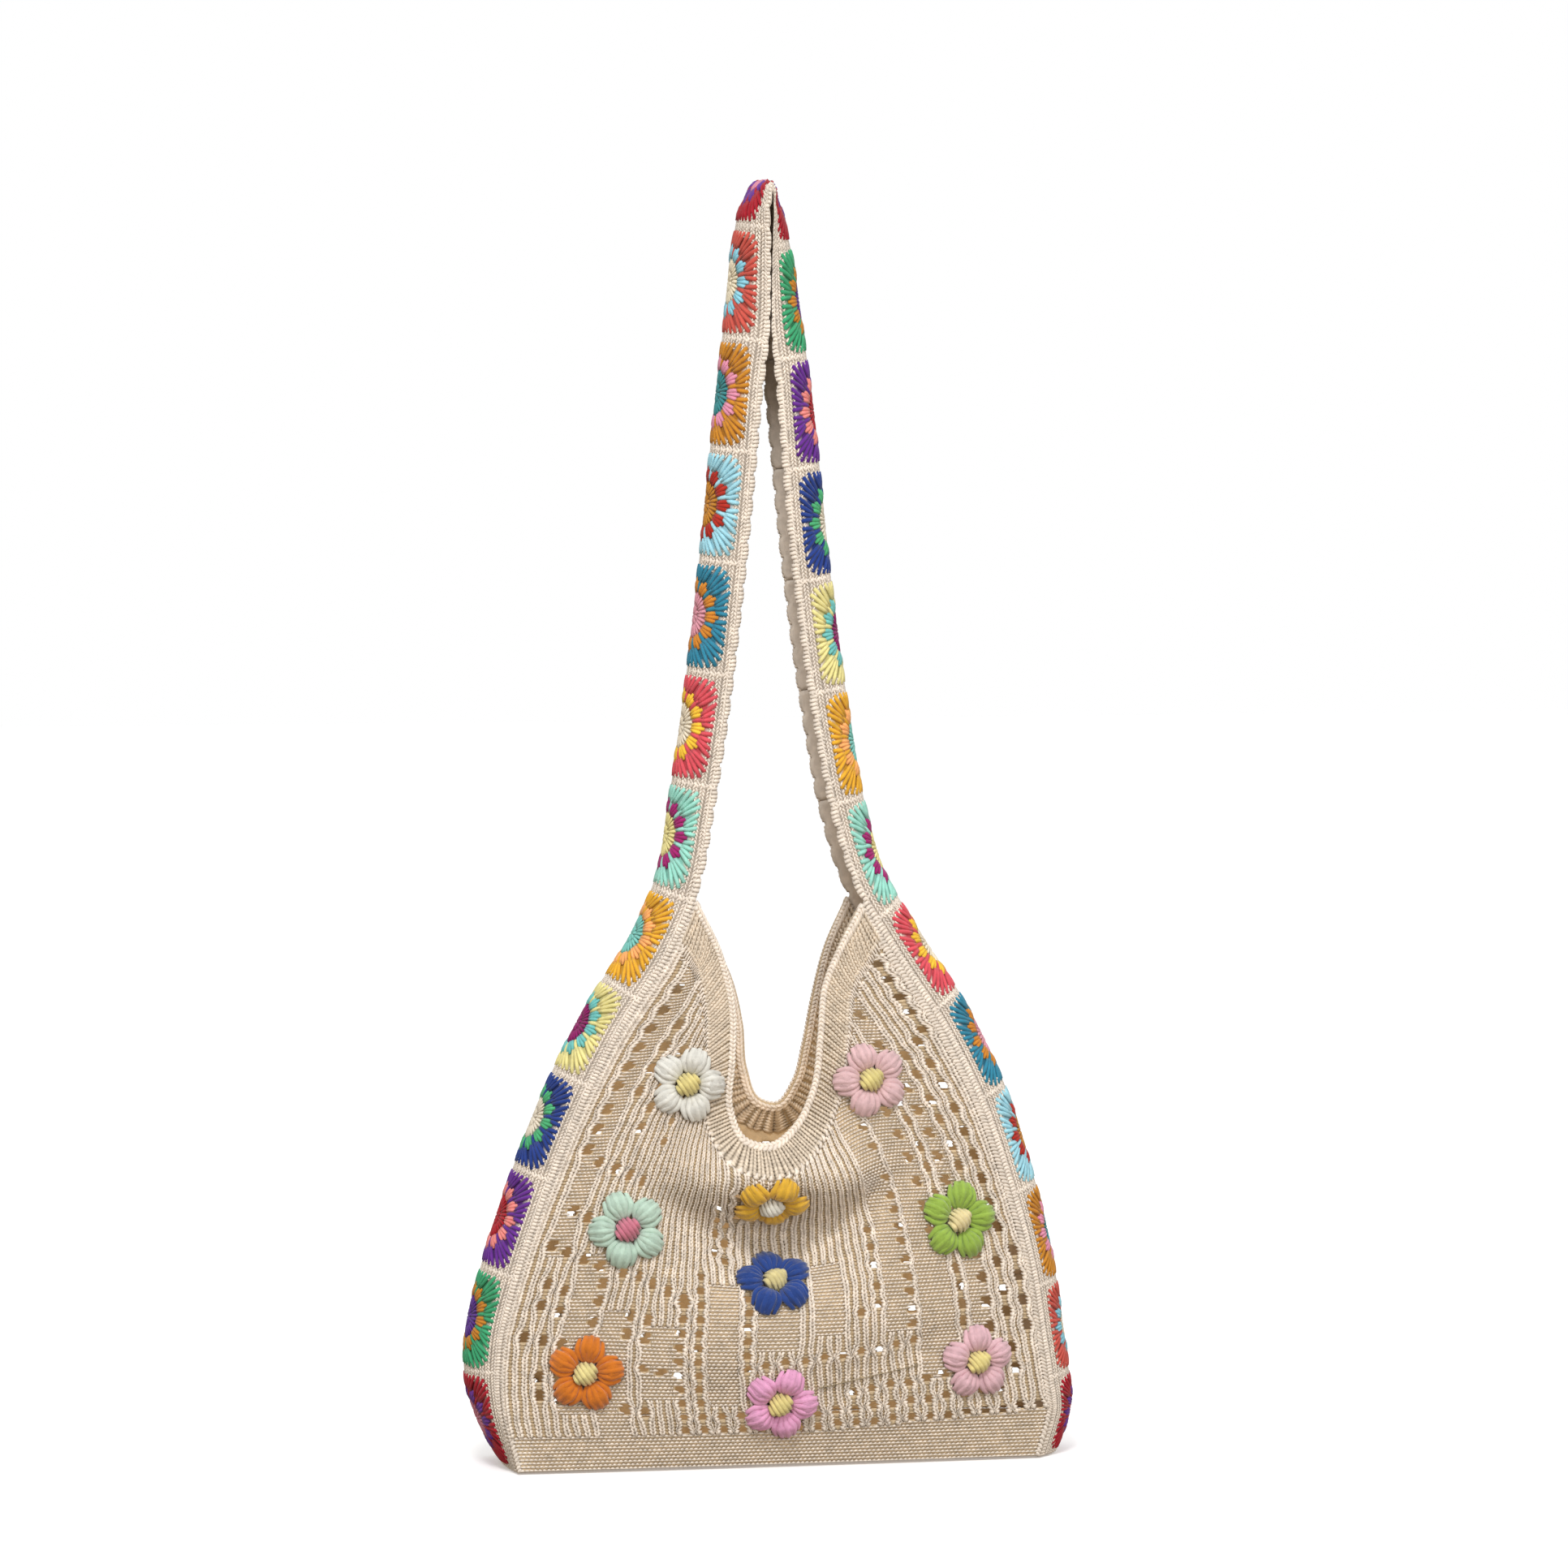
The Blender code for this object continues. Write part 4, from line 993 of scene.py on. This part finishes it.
def purl_bumps(knit, stitch, course, rise, lean, width, height, stations, colour, seed):
    """A purl bump across each of these stitches, rise courses up. Even courses lean to the right and odd
    ones to the left, by lean stitches."""

    def on_ground(x, y, z):
        return knit.place(x, y, z + GROUND_FACE + 0.0005)

    aside = stitch + lean * np.where(course % 2 == 0, 1, -1)
    level = (course + rise + 0.42) * STITCH_HEIGHT
    start, end = pairs((aside - 0.04) * STITCH_WIDTH, level), pairs((aside + 1.04) * STITCH_WIDTH, level)
    how = {"sunk": 0.4, "stations": stations, "sides": 3, "tip": 0.42 if stations > 2 else 0.8, "bow": 0.0004}
    return dyed_strands(on_ground, start, end, width, height, colour, 0.06, seed, **how)


def knit_stitches(knit, blocks, seed):
    """The stitches of a panel: on each rib a V of two legs in each course, and between the ribs and in
    the blocks a purl bump, zigzagging from stitch to stitch. None is worked where an eyelet is."""
    tops = np.minimum(knit.top_at(np.arange(STITCHES)), knit.top_at(np.arange(1, STITCHES + 1)))
    courses = np.arange(math.ceil(FIRST_COURSE), math.ceil(tops.max()))
    stitch, course = np.meshgrid(np.arange(STITCHES), courses, indexing="ij")
    worked = course + 1 < tops[:, None]
    knitted = (stitch % 2 == 0) & worked
    for a, b, low, high in blocks:
        knitted &= ~((stitch >= a) & (stitch <= b) & (course >= low) & (course <= high))
    if knit.side == FRONT:
        knitted &= course > np.interp(stitch, GARTER_STITCHES, GARTER_COURSES)
    pierced = np.zeros(stitch.shape, bool)
    for a, b, tall in knit.eyelets:
        pierced[a, b - courses[0] : b - courses[0] + tall] = True
    ribs_beside = np.zeros(stitch.shape, bool)
    ribs_beside[1:-1] = knitted[:-2] & knitted[2:]
    parts = []
    round_sides, purl_stations = (4, 3) if knit.side == FRONT else (3, 2)
    knitted &= ~pierced
    a, b = stitch[knitted], course[knitted]
    for leg, (top, foot) in enumerate(((0.02, 0.34), (0.98, 0.66))):
        start = pairs((a + top) * STITCH_WIDTH, (b + 1.10) * STITCH_HEIGHT)
        end = pairs((a + foot) * STITCH_WIDTH, (b - 0.10) * STITCH_HEIGHT)
        stray = UNEVENNESS * np.random.default_rng(seed + leg).uniform(-1, 1, (2, len(a), 2))
        how = {"sunk": 0.5, "stations": 2, "sides": round_sides, "tip": 1.0}
        ends = (start + stray[0], end + stray[1])
        parts.append(dyed_strands(knit.place, *ends, *KNIT_LEG, CREAM_YARN, 0.10, seed + leg, **how))
    # Purl bumps sunk between two ribs are painted in the cream in painted shade, for the shade in the slots;
    # the others are plain cream.
    for row, (sunken, lean, size, stations, colour) in enumerate(
        ((True, 0, SUNKEN_PURL, 2, PAINTED_SHADE_CREAM), (False, PURL_LEAN, PURL, purl_stations, CREAM_YARN))
    ):
        purled = worked & ~knitted & ~pierced & (ribs_beside == sunken)
        a, b = stitch[purled], course[purled]
        parts.append(purl_bumps(knit, a, b, 0, lean, *size, stations, colour, seed + 2 + row))
    if knit.side == FRONT:
        # Painted shadow: a dark strand along the crease, the cream in painted shade darkened further.
        line = np.linspace(*RIDGE, RIDGE_PIECES + 1) * [STITCH_WIDTH, STITCH_HEIGHT]
        ends, colour = (line[:-1], line[1:]), PAINTED_SHADE_CREAM * 0.55
        how = {"sunk": 0.5, "stations": 2, "tip": 1.0}
        parts.append(dyed_strands(knit.place, *ends, *CREASE_PAINTED_SHADOW, colour, 0.1, seed + 9, **how))
    return joined(parts)


# Soft-spun cotton knitted on a machine: matt and a little hairy, fibres drawn about 0.8 mm apart.
KNIT_COTTON = cotton("machine-knitted cotton", 0.0008, 0.0004, 0.92, 0.12, (1.0, 0.82, 0.6))
# The cream in painted shade, as a linear colour: the colour of the gaps between the stitches.
PAINTED_SHADE_CREAM = linear_colour(PAINTED_SHADE_HEX)
KNITS = {side: Knit(side) for side in (FRONT, BACK)}
PANELS = {}
for side, name in ((FRONT, "front_panel"), (BACK, "back_panel")):
    # The ground shows only between the stitches and is painted in the cream in painted shade: painted shade
    # in the gaps.
    ground = plain(trimmed(*knit_ground(KNITS[side], FIRST_COURSE)), PAINTED_SHADE_CREAM)
    stitches = knit_stitches(KNITS[side], FRONT_BLOCKS if side == FRONT else (), 500 + side * 50)
    PANELS[side], stitches = dressed(name, "ground", ground, stitches, KNIT_COTTON, "cream_cotton")

# The neckbands. A ribbed band is knitted on along each neckline and cast off in a braided edge. The
# back one is seen from its inner side, through the neck, so both sides carry ribs.

RIB_PITCHES = {FRONT: 0.0050, BACK: 0.0072}
RIB_CROWDING = {FRONT: 0.32, BACK: 0.15}  # how much closer the ribs stand where the neck is lowest
NECK_COURSES = 8
EDGE_STITCH = 0.0028
FOOT_COLUMN = 0.2  # about the height of a panel's column, in metres
RIB_SLANT = 0.85  # how far the ribs lean to the shoulders, along the neckline for each metre up the band
RIB_YARN_PAINTED_SHADE = CREAM_YARN * 0.55 + PAINTED_SHADE_CREAM * 0.40  # painted shade: the ribs' cream darkened with the cream in painted shade
RIB_HEIGHT = 0.0024
BRAID = (0.0028, 0.0032)  # width and height of a strand of the edge
PICKED_UP = (0.0026, 0.0024)  # and of a stitch where the band is knitted on


def neck_column(share):
    """The column u at this share of a neckline's length: neck_share the other way round."""
    u = np.linspace(-1, 1, 801)
    return np.interp(share, neck_share(u), u)


def neck_place(side):
    """Points on a neckband, a metres along the neckline and b metres up from the band's foot. A lift
    below zero is inside the wall."""
    length = NECK_CURVES[side][0][-1]

    def place(a, b, lift):
        at = neck_column(a / length)
        v = 1 + np.clip(b / NECKBAND_WIDTH, 0, 1)
        normal = panel_normal(side, at, np.clip(v, 1, 1.98))
        return panel_sheet(side, at, v) + (lift + 0.00035)[..., None] * normal

    return place, length


def neckband(side, seed):
    """A neckband's ground, and its stitches: ribs of Vs up both faces and a braid of slanting stitches
    along the neckline."""
    place, length = neck_place(side)
    a = np.linspace(0, length, 241)[:, None] + np.zeros((1, 5))
    b = np.linspace(SEAM_GAP, NECKBAND_WIDTH, 5)[None, :] + 0 * a
    ground = wall_on(place, a, b, (-0.0011, -0.0022))

    def inner_place(x, y, z):
        return place(x, y, -NECKBAND_WALL - z)

    def foot_place(a, b, lift):
        at = neck_column(a / length)
        v = 1 + np.where(b > 0, b / NECKBAND_WIDTH, b / FOOT_COLUMN)
        return panel_sheet(side, at, v) + lift[..., None] * panel_normal(side, at, v)

    ribs = round(length / RIB_PITCHES[side])
    height = (NECKBAND_WIDTH - 0.0035) / NECK_COURSES
    rib, course = grid_of(np.arange(ribs), np.arange(NECK_COURSES))
    turn = 2 * np.pi * (rib + 0.5) / ribs
    middle = (turn + RIB_CROWDING[side] * np.sin(turn)) / (2 * np.pi) * length
    wide = length / ribs / 4 * (1 + RIB_CROWDING[side] * np.cos(turn))
    foot = course * height + 0.0006
    parts = []
    # The front's ribs are stretched flat where the neck is lowest.
    beside = 2 * middle / length - 1
    away = np.abs(beside)
    relief = 0.4 + 0.6 * smoothstep((away - 0.12) / 0.4) if side == FRONT else 1.0
    slant = RIB_SLANT * np.sign(beside) * smoothstep((away - 0.1) / 0.4) * smoothstep((1 - away) / 0.2)
    for face, put in enumerate((place, inner_place)):
        for leg in (-1, 1):
            head = foot + 1.15 * height
            start = pairs(middle + leg * 1.25 * wide + slant * head, head)
            end = pairs(middle + leg * (1.15 - 0.6 * relief) * wide + slant * foot, foot)
            size = ((2.15 - 0.45 * relief) * wide, RIB_HEIGHT * relief)
            how = {"sunk": 0.55, "stations": 2, "tip": 1.0}
            parts.append(dyed_strands(put, start, end, *size, RIB_YARN_PAINTED_SHADE, 0.10, seed + 2 * face + leg, **how))
        count = round(length / EDGE_STITCH)
        along = (np.arange(count) + 0.5) * length / count
        for row, (low, high) in enumerate(((0.0158, 0.0184), (0.0204, 0.0178))):
            # Painted highlight: the braid's cream is made a little lighter, for the light on the edge.
            ends, colour = (pairs(along - 0.0018, low), pairs(along + 0.0018, high)), CREAM_YARN * 1.03
            parts.append(dyed_strands(put, *ends, *BRAID, colour, 0.05, seed + 6 + row, sunk=0.35))
    start, end = pairs(along - 0.0004, -0.0022), pairs(along + 0.0004, 0.0026)
    how = {"sunk": 0.6, "stations": 3, "tip": 0.75}
    parts.append(dyed_strands(foot_place, start, end, *PICKED_UP, CREAM_YARN, 0.05, seed + 9, **how))
    # The ground between the ribs is painted in the cream in painted shade: painted shade in the gaps.
    return plain(ground, PAINTED_SHADE_CREAM * 0.95), joined(parts)


for side, name in ((FRONT, "front_neckband"), (BACK, "back_neckband")):
    band, stitches = dressed(name, "ground", *neckband(side, 700 + side * 20), KNIT_COTTON, "cream_cotton")

# The base. A plain garter-stitch floor in the same cream cotton, turned up all along the front and the
# back, where the panels are sewn on.

BASE_END_GAP = 0.0008
GARTER_ROWS = 10  # of the turned-up walls
FLOOR_GRID = (61, 15)  # points along and across the floor
FLOOR_STITCHES = (26, 75)  # rows, and stitches in a row
FLOOR_STRAND = (0.40, 0.0011)  # width as a share of a step of the grid, and height in metres


def base_floor(lift):
    """Points of the floor between the front's and the back's lowest lines and, at both ends, the band's
    inside: a Coons patch, which adds the two pairs of edges and takes away the corners."""
    u, w = (np.linspace(-1, 1, count) for count in FLOOR_GRID)
    front, back = (panel_sheet(side, u, 0 * u)[:, :2] + [0, -side * 0.001] for side in (FRONT, BACK))
    depth = BAND_WALL + BASE_END_GAP
    reach = w * (HALF_BAND - BAND_WALL)
    left, right = (band_point(at + 0 * w, reach, -depth)[:, :2] for at in (0.0, BAND_LENGTH))
    s, t = ((u + 1) / 2)[:, None, None], ((w + 1) / 2)[None, :, None]
    edges = front[:, None] * (1 - t) + back[:, None] * t + left[None] * (1 - s) + right[None] * s
    corners = (front[0] * (1 - t) + back[0] * t) * (1 - s) + (front[-1] * (1 - t) + back[-1] * t) * s
    flat = edges - corners
    return np.concatenate([flat, np.full((*flat.shape[:2], 1), lift)], axis=-1)


def base_parts(seed):
    """The floor's wall, the two turned-up walls, and garter stitches over all of them."""
    columns, rows = FLOOR_GRID
    index = np.arange(columns * rows).reshape(columns, rows)
    lower, upper = base_floor(0.0004), base_floor(PANEL_WALL)
    grounds = [walled(lower.reshape(-1, 3), upper.reshape(-1, 3), grid_triangles(index))]
    last = BASE_RISE / STITCH_HEIGHT
    parts = []
    for side in (FRONT, BACK):
        knit = KNITS[side]
        grounds.append(knit_ground(knit, 0.2, last))
        a, b = grid_of(np.arange(STITCHES), np.arange(GARTER_ROWS))
        parts.append(purl_bumps(knit, a, b, 0.06, PURL_LEAN, *PURL, 3, CREAM_YARN, seed + side))
    spots = base_floor(0.0)

    def floor_place(x, y, z):
        i = np.clip(x, 0, columns - 1.001)
        j = np.clip(y, 0, rows - 1.001)
        m, n = i.astype(int), j.astype(int)
        p, q = (i - m)[..., None], (j - n)[..., None]
        low = spots[m, n] * (1 - p) + spots[m + 1, n] * p
        high = spots[m, n + 1] * (1 - p) + spots[m + 1, n + 1] * p
        return low * (1 - q) + high * q + np.stack([0 * z, 0 * z, 0.0006 - z], axis=-1)

    lines, each = FLOOR_STITCHES
    line, stitch = grid_of(np.arange(lines), np.arange(each))
    level, wave = (line + 0.5) / lines * (rows - 1), np.where(stitch % 2 == 0, 0.07, -0.07)
    start, end = pairs(stitch * 0.8 - 0.04, level - wave), pairs(stitch * 0.8 + 0.84, level + wave)
    how = {"sunk": 0.5, "stations": 2, "sides": 3, "tip": 1.0}
    parts.append(dyed_strands(floor_place, start, end, *FLOOR_STRAND, CREAM_YARN, 0.06, seed + 5, **how))
    # The grounds are painted in the cream in painted shade: painted shade in the gaps between the stitches.
    return joined([plain(part, PAINTED_SHADE_CREAM) for part in grounds]), joined(parts)


base, stitches = dressed("base", "ground", *base_parts(900), KNIT_COTTON, "cream_cotton")

# The seams. The panels and the band are overcast together in the same cream cotton, from the base up to
# the strap's foot on both sides.

SEAM_STITCH = 0.0026
SEAM_STRAND = (0.0024, 0.0020)


def seam_stitches(seed):
    """Slanting stitches over the four seams, each from the band's border to the panel's edge."""
    parts = []
    for side in (FRONT, BACK):
        for end in (-1, 1):

            def place(a, b, lift):
                share = a / SEAM_LENGTHS[end]
                edge, normal = seam_edge(side, end, share)
                along = a if end < 0 else BAND_LENGTH - a
                on_band = band_point(along, side * (HALF_BAND - 0.004))
                v = np.interp(share, seam_share_at(np.linspace(0, 2, 41)), np.linspace(0, 2, 41))
                on_panel = panel_sheet(side, end * 0.975 + 0 * v, v)
                reach = b[..., None] / 0.004
                flat = np.where(reach < 0, edge + (edge - on_band) * reach, edge + (on_panel - edge) * reach)
                return flat + lift[..., None] * normal

            count = round(SEAM_LENGTHS[end] / SEAM_STITCH)
            a = (np.arange(count) + 0.5) * SEAM_LENGTHS[end] / count
            ends = (pairs(a - 0.0018, -0.0014), pairs(a + 0.0018, 0.0020))
            # Painted shade: the seam's cream is made a tenth darker, for the shade in the join.
            colour, how = CREAM_YARN * 0.9, {"sunk": 0.6, "tip": 0.6}
            seed_here = seed + 2 * side + end
            parts.append(dyed_strands(place, *ends, *SEAM_STRAND, colour, 0.06, seed_here, **how))
    return joined(parts)


seams = make_piece("seam_stitches", *seam_stitches(950), KNIT_COTTON)

# The flowers. Nine puff-stitch flowers of thick soft yarn are sewn on the front. Each petal is a cluster
# of long loops drawn up from the middle, and the middle is a dome of wound strands.

FLOWER_RADIUS = 0.0255
PETALS = 5
PETAL_LOOPS = 5
BED_REACH = 0.0045  # how wide a dip of the cloth a flower spans without sinking into it
STATIONS = 9  # sections of a strand
PETAL_LOOP = (0.0046, 0.0036)  # width and height of a loop, and of a strand wound round the middle
CENTRE_STRAND = (0.0040, 0.0042)
PUFF_SHADE = 0.84  # how much darker than its colour the yarn is between its fibres

# Each row: name, size as a share of FLOWER_RADIUS, direction of the first petal in degrees as seen from
# the front, and the petals' and the centre's colour.
FLOWERS = (
    ("white", 0.98, -1, "EDEBE2", "E9D98F"),
    ("pink", 0.98, 39, "EBC4C6", "EBDB90"),
    ("mint", 1.02, 40, "C6E0CE", "D77F93"),
    ("yellow", 1.00, 68, "EDBA3E", "F0EDE0"),
    ("green", 1.04, 8, "9FBF52", "EEDDA6"),
    ("blue", 1.00, 30, "2D4B94", "EBDDA0"),
    ("orange", 1.00, 8, "E07F27", "EFE09A"),
    ("rose", 1.00, -2, "F6B0D8", "EEDD92"),
    ("blush", 0.98, 20, "EBC0C8", "EEDD92"),
)

# Fluffy acrylic and wool yarn, brushed: softer and more hairy than the cotton, with more sheen.
PUFF_YARN = cotton("soft puff-stitch yarn", 0.0006, 0.00045, 0.95, 0.35)


def object_points(thing):
    """The corners of an object's mesh, in the frame."""
    points = np.empty(len(thing.data.vertices) * 3, np.float32)
    thing.data.vertices.foreach_get("co", points)
    return points.reshape(-1, 3).astype(float)


CLOTH_NAMES = ("front_panel_ground", "front_neckband_ground", "base_ground")
CLOTH_POINTS = np.concatenate([object_points(bpy.data.objects[name]) for name in CLOTH_NAMES])


def flower_bed(name):
    """A place function for a flower: its middle and its plane are those of its CAD petals, and each point
    stands above the highest cloth within BED_REACH of it."""
    petals = object_points(frame["nodes"][f"flower_{name}_petals"])
    middle = object_points(frame["nodes"][f"flower_{name}_centre"]).mean(axis=0)
    spread = petals - petals.mean(axis=0)
    normal = np.linalg.svd(spread, full_matrices=False)[2][2]
    normal = normal * (-1 if normal[1] > 0 else 1)
    right = np.cross([0, 0, 1], normal)
    right /= np.linalg.norm(right)
    up = np.cross(normal, right)
    near = CLOTH_POINTS[np.linalg.norm(CLOTH_POINTS - middle, axis=1) < 1.6 * FLOWER_RADIUS]
    near = near[(near - middle) @ normal > -0.02]
    flat = np.stack([(near - middle) @ right, (near - middle) @ up], axis=1)
    heights = (near - middle) @ normal

    def place(a, b, lift):
        spots = np.stack([a.ravel(), b.ravel()], axis=1)
        close = np.linalg.norm(spots[:, None] - flat[None], axis=2) < BED_REACH
        bed = np.where(close, heights[None], -0.012).max(axis=1).reshape(a.shape) - GROUND_FACE
        rise = (bed + lift)[..., None]
        return middle + a[..., None] * right + b[..., None] * up + rise * normal + [0, 0, HANG_HEIGHT]

    return place


def petal_strands(place, radius, first, colour, seed):
    """Five petals. Each has a plump core and five loops over it that start together at the middle, bow out
    to the petal's sides, arch up as a sine and end round its tip."""
    petal = np.radians(first) + 2 * np.pi * np.arange(PETALS) / PETALS
    reach = rays(petal)
    start, end, size = reach * 0.34 * radius, reach * 0.97 * radius, (0.62 * radius, 0.0098)
    how = {"sunk": 0.15, "stations": STATIONS, "sides": 12, "tip": 0.36}
    # Painted shade: the core, seen only between the loops over it, is a tenth darker than the loops.
    parts = [dyed_strands(place, start, end, *size, colour * 0.9, 0.03, seed, **how)]
    petal, x = grid_of(petal, np.linspace(-1, 1, PETAL_LOOPS))
    start = rays(petal + 0.20 * x) * 0.27 * radius
    end = rays(petal + 0.33 * x) * (radius * (1.0 - 0.08 * x * x))[:, None]
    arch = np.sin(np.pi * np.linspace(0, 1, STATIONS))
    rise = (0.0018 + 0.0048 * arch**0.8)[None, :, None] * (1 - 0.42 * x * x)[:, None, None]
    how = {"sunk": 0.45, "stations": STATIONS, "sides": 8, "tip": 0.55, "rise": rise}
    how["bow"] = x * 0.13 * radius
    return parts + [dyed_strands(place, start, end, *PETAL_LOOP, colour, 0.04, seed + 1, **how)]


def centre_strands(place, radius, colour, seed):
    """A dome of six strands side by side, wound slantwise over the middle."""
    x = np.linspace(-1, 1, 6)
    half = radius * 0.31
    across = rays(np.radians(35))
    along = np.array([-across[1], across[0]])
    reach = np.sqrt(np.maximum(1 - (0.86 * x) ** 2, 0.05)) * half
    start = x[:, None] * 0.84 * half * across - reach[:, None] * along
    end = x[:, None] * 0.84 * half * across + reach[:, None] * along
    arch = np.sin(np.pi * np.linspace(0, 1, STATIONS))
    rise = 0.0028 + (0.0058 * arch**0.6)[None, :, None] * np.sqrt(1 - 0.6 * x * x)[:, None, None]
    how = {"sunk": 0.3, "stations": STATIONS, "sides": 6, "tip": 0.55, "rise": rise}
    wound = dyed_strands(place, start, end, *CENTRE_STRAND, colour, 0.06, seed, **how)
    # Painted shade: the dome under the wound strands is a quarter darker, for the shade between them.
    ends, size = (-half * along[None], half * along[None]), (2 * half, 0.009)
    how = {"sunk": 0.1, "stations": 7, "sides": 10, "tip": 0.3}
    return [wound, dyed_strands(place, *ends, *size, colour * 0.75, 0.0, seed, **how)]


for number, (name, size, first, petal_colour, centre_colour) in enumerate(FLOWERS):
    place = flower_bed(name)
    radius = FLOWER_RADIUS * size
    parts = petal_strands(place, radius, first, linear_colour(petal_colour) * PUFF_SHADE, 1000 + 10 * number)
    petals = make_piece(f"flower_{name}_petal_loops", *joined(parts), PUFF_YARN)
    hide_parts(f"flower_{name}_petals")
    parts = centre_strands(place, radius, linear_colour(centre_colour) * PUFF_SHADE, 1005 + 10 * number)
    centre = make_piece(f"flower_{name}_centre_strands", *joined(parts), PUFF_YARN)
    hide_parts(f"flower_{name}_centre")

# The studio. A plain white floor just under the bag, a white sky that is warmer and weaker below, two
# soft lights in front and above, and a weak one in the bag.

FLOOR_SIZE = 16.0
FLOOR_DROP = 0.0012
WARM = (1.0, 0.80, 0.56)  # of the light that the cotton lets through into the bag


def matt_white(name, hex_code):
    """Painted board: matt, one pale colour with no mottling, lit a little from within."""
    settings = {"Base Color": (*linear_colour(hex_code), 1), "Roughness": 0.9, "Specular IOR Level": 0.1}
    settings |= {"Emission Color": (1, 1, 1, 1), "Emission Strength": 0.20}
    return principled(name, settings)[0]


half, level = FLOOR_SIZE / 2, -HANG_HEIGHT - FLOOR_DROP
corners = [(-half, -half, level), (half, -half, level), (half, half, level), (-half, half, level)]
floor_data = bpy.data.meshes.new("floor")
floor_data.from_pydata(corners, [], [(0, 1, 2, 3)])
floor_data.materials.append(matt_white("painted floor", "FFFFFF"))
floor = add_object("floor", floor_data)
floor.visible_diffuse = False

world = bpy.data.worlds.new("studio")
bpy.context.scene.world = world
world.use_nodes = True
sky = world.node_tree.nodes["Background"]
tree = world.node_tree
seen = add_node(tree, "ShaderNodeLightPath")
way = add_node(tree, "ShaderNodeTexCoord")
height = add_node(tree, "ShaderNodeSeparateXYZ", {"Vector": (way, "Generated")})


def sky_light(low, high, least, most):
    """A value that goes from least to most as the sky's height goes from low to high, and is 1 or more
    where the camera sees the sky itself."""
    limits = {"From Min": low, "From Max": high, "To Min": least, "To Max": most}
    share = add_node(tree, "ShaderNodeMapRange", {"Value": (height, "Z"), **limits})
    either = {0: (share, "Result"), 1: (seen, "Is Camera Ray")}
    return add_node(tree, "ShaderNodeMath", either, operation="MAXIMUM")


tree.links.new(sky_light(-0.7, 0.8, 0.22, 0.90).outputs["Value"], sky.inputs["Strength"])
colours = {0: (sky_light(-0.5, 0.4, 0.0, 1.0), "Value"), 6: (1.0, 0.78, 0.54, 1), 7: (1, 1, 1, 1)}
tint = add_node(tree, "ShaderNodeMix", colours, data_type="RGBA")
tree.links.new(tint.outputs[2], sky.inputs["Color"])


def aim_along(thing, place, way):
    """Puts a light or the camera at place, looking this way."""
    thing.location = place
    thing.rotation_mode = "QUATERNION"
    thing.rotation_quaternion = Vector(way).to_track_quat("-Z", "Y")


def soft_light(name, place, aim, width, watts, colour=(1, 1, 1)):
    """A square soft box of this width at place, turned to aim."""
    data = bpy.data.lights.new(name, "AREA")
    data.shape, data.size, data.energy, data.color = "SQUARE", width, watts, colour
    lamp = add_object(name, data)
    lamp.visible_camera = False
    way = (np.array(aim) - place) / np.linalg.norm(np.array(aim) - place)
    aim_along(lamp, place, way)


soft_light("key", (-0.6, -2.0, 1.6), (0, 0, -0.6), 0.7, 42)
soft_light("fill", (0.6, -3.0, -0.1), (0, 0, -0.5), 1.4, 31)
soft_light("glow to the back", (0, 0.0, -0.70), (0, 1, -0.70), 0.28, 0.10, WARM)

# The camera. It stands where the photograph's did, a little left of the bag and a little above its
# middle, far enough off for a long lens.

CAMERA_AZIMUTH, CAMERA_ELEVATION = math.radians(-10), math.radians(4)
CAMERA_DISTANCE = 4.5
LENS = 157.0  # millimetres, on a sensor 36 mm wide
AIM_ASIDE, AIM_HEIGHT = 0.0133, -0.393  # of the point in the middle of the picture
sine, cosine, level = math.sin(CAMERA_AZIMUTH), math.cos(CAMERA_AZIMUTH), math.cos(CAMERA_ELEVATION)
towards = np.array([sine * level, -cosine * level, math.sin(CAMERA_ELEVATION)])
target = np.array([cosine, sine, 0]) * AIM_ASIDE + [0, 0, AIM_HEIGHT]
camera_data = bpy.data.cameras.new("camera")
camera_data.lens = LENS
camera_data.sensor_width = 36
camera = add_object("camera", camera_data)
aim_along(camera, target + towards * CAMERA_DISTANCE, -towards)
bpy.context.scene.camera = camera
bpy.context.scene.view_settings.view_transform = "Standard"
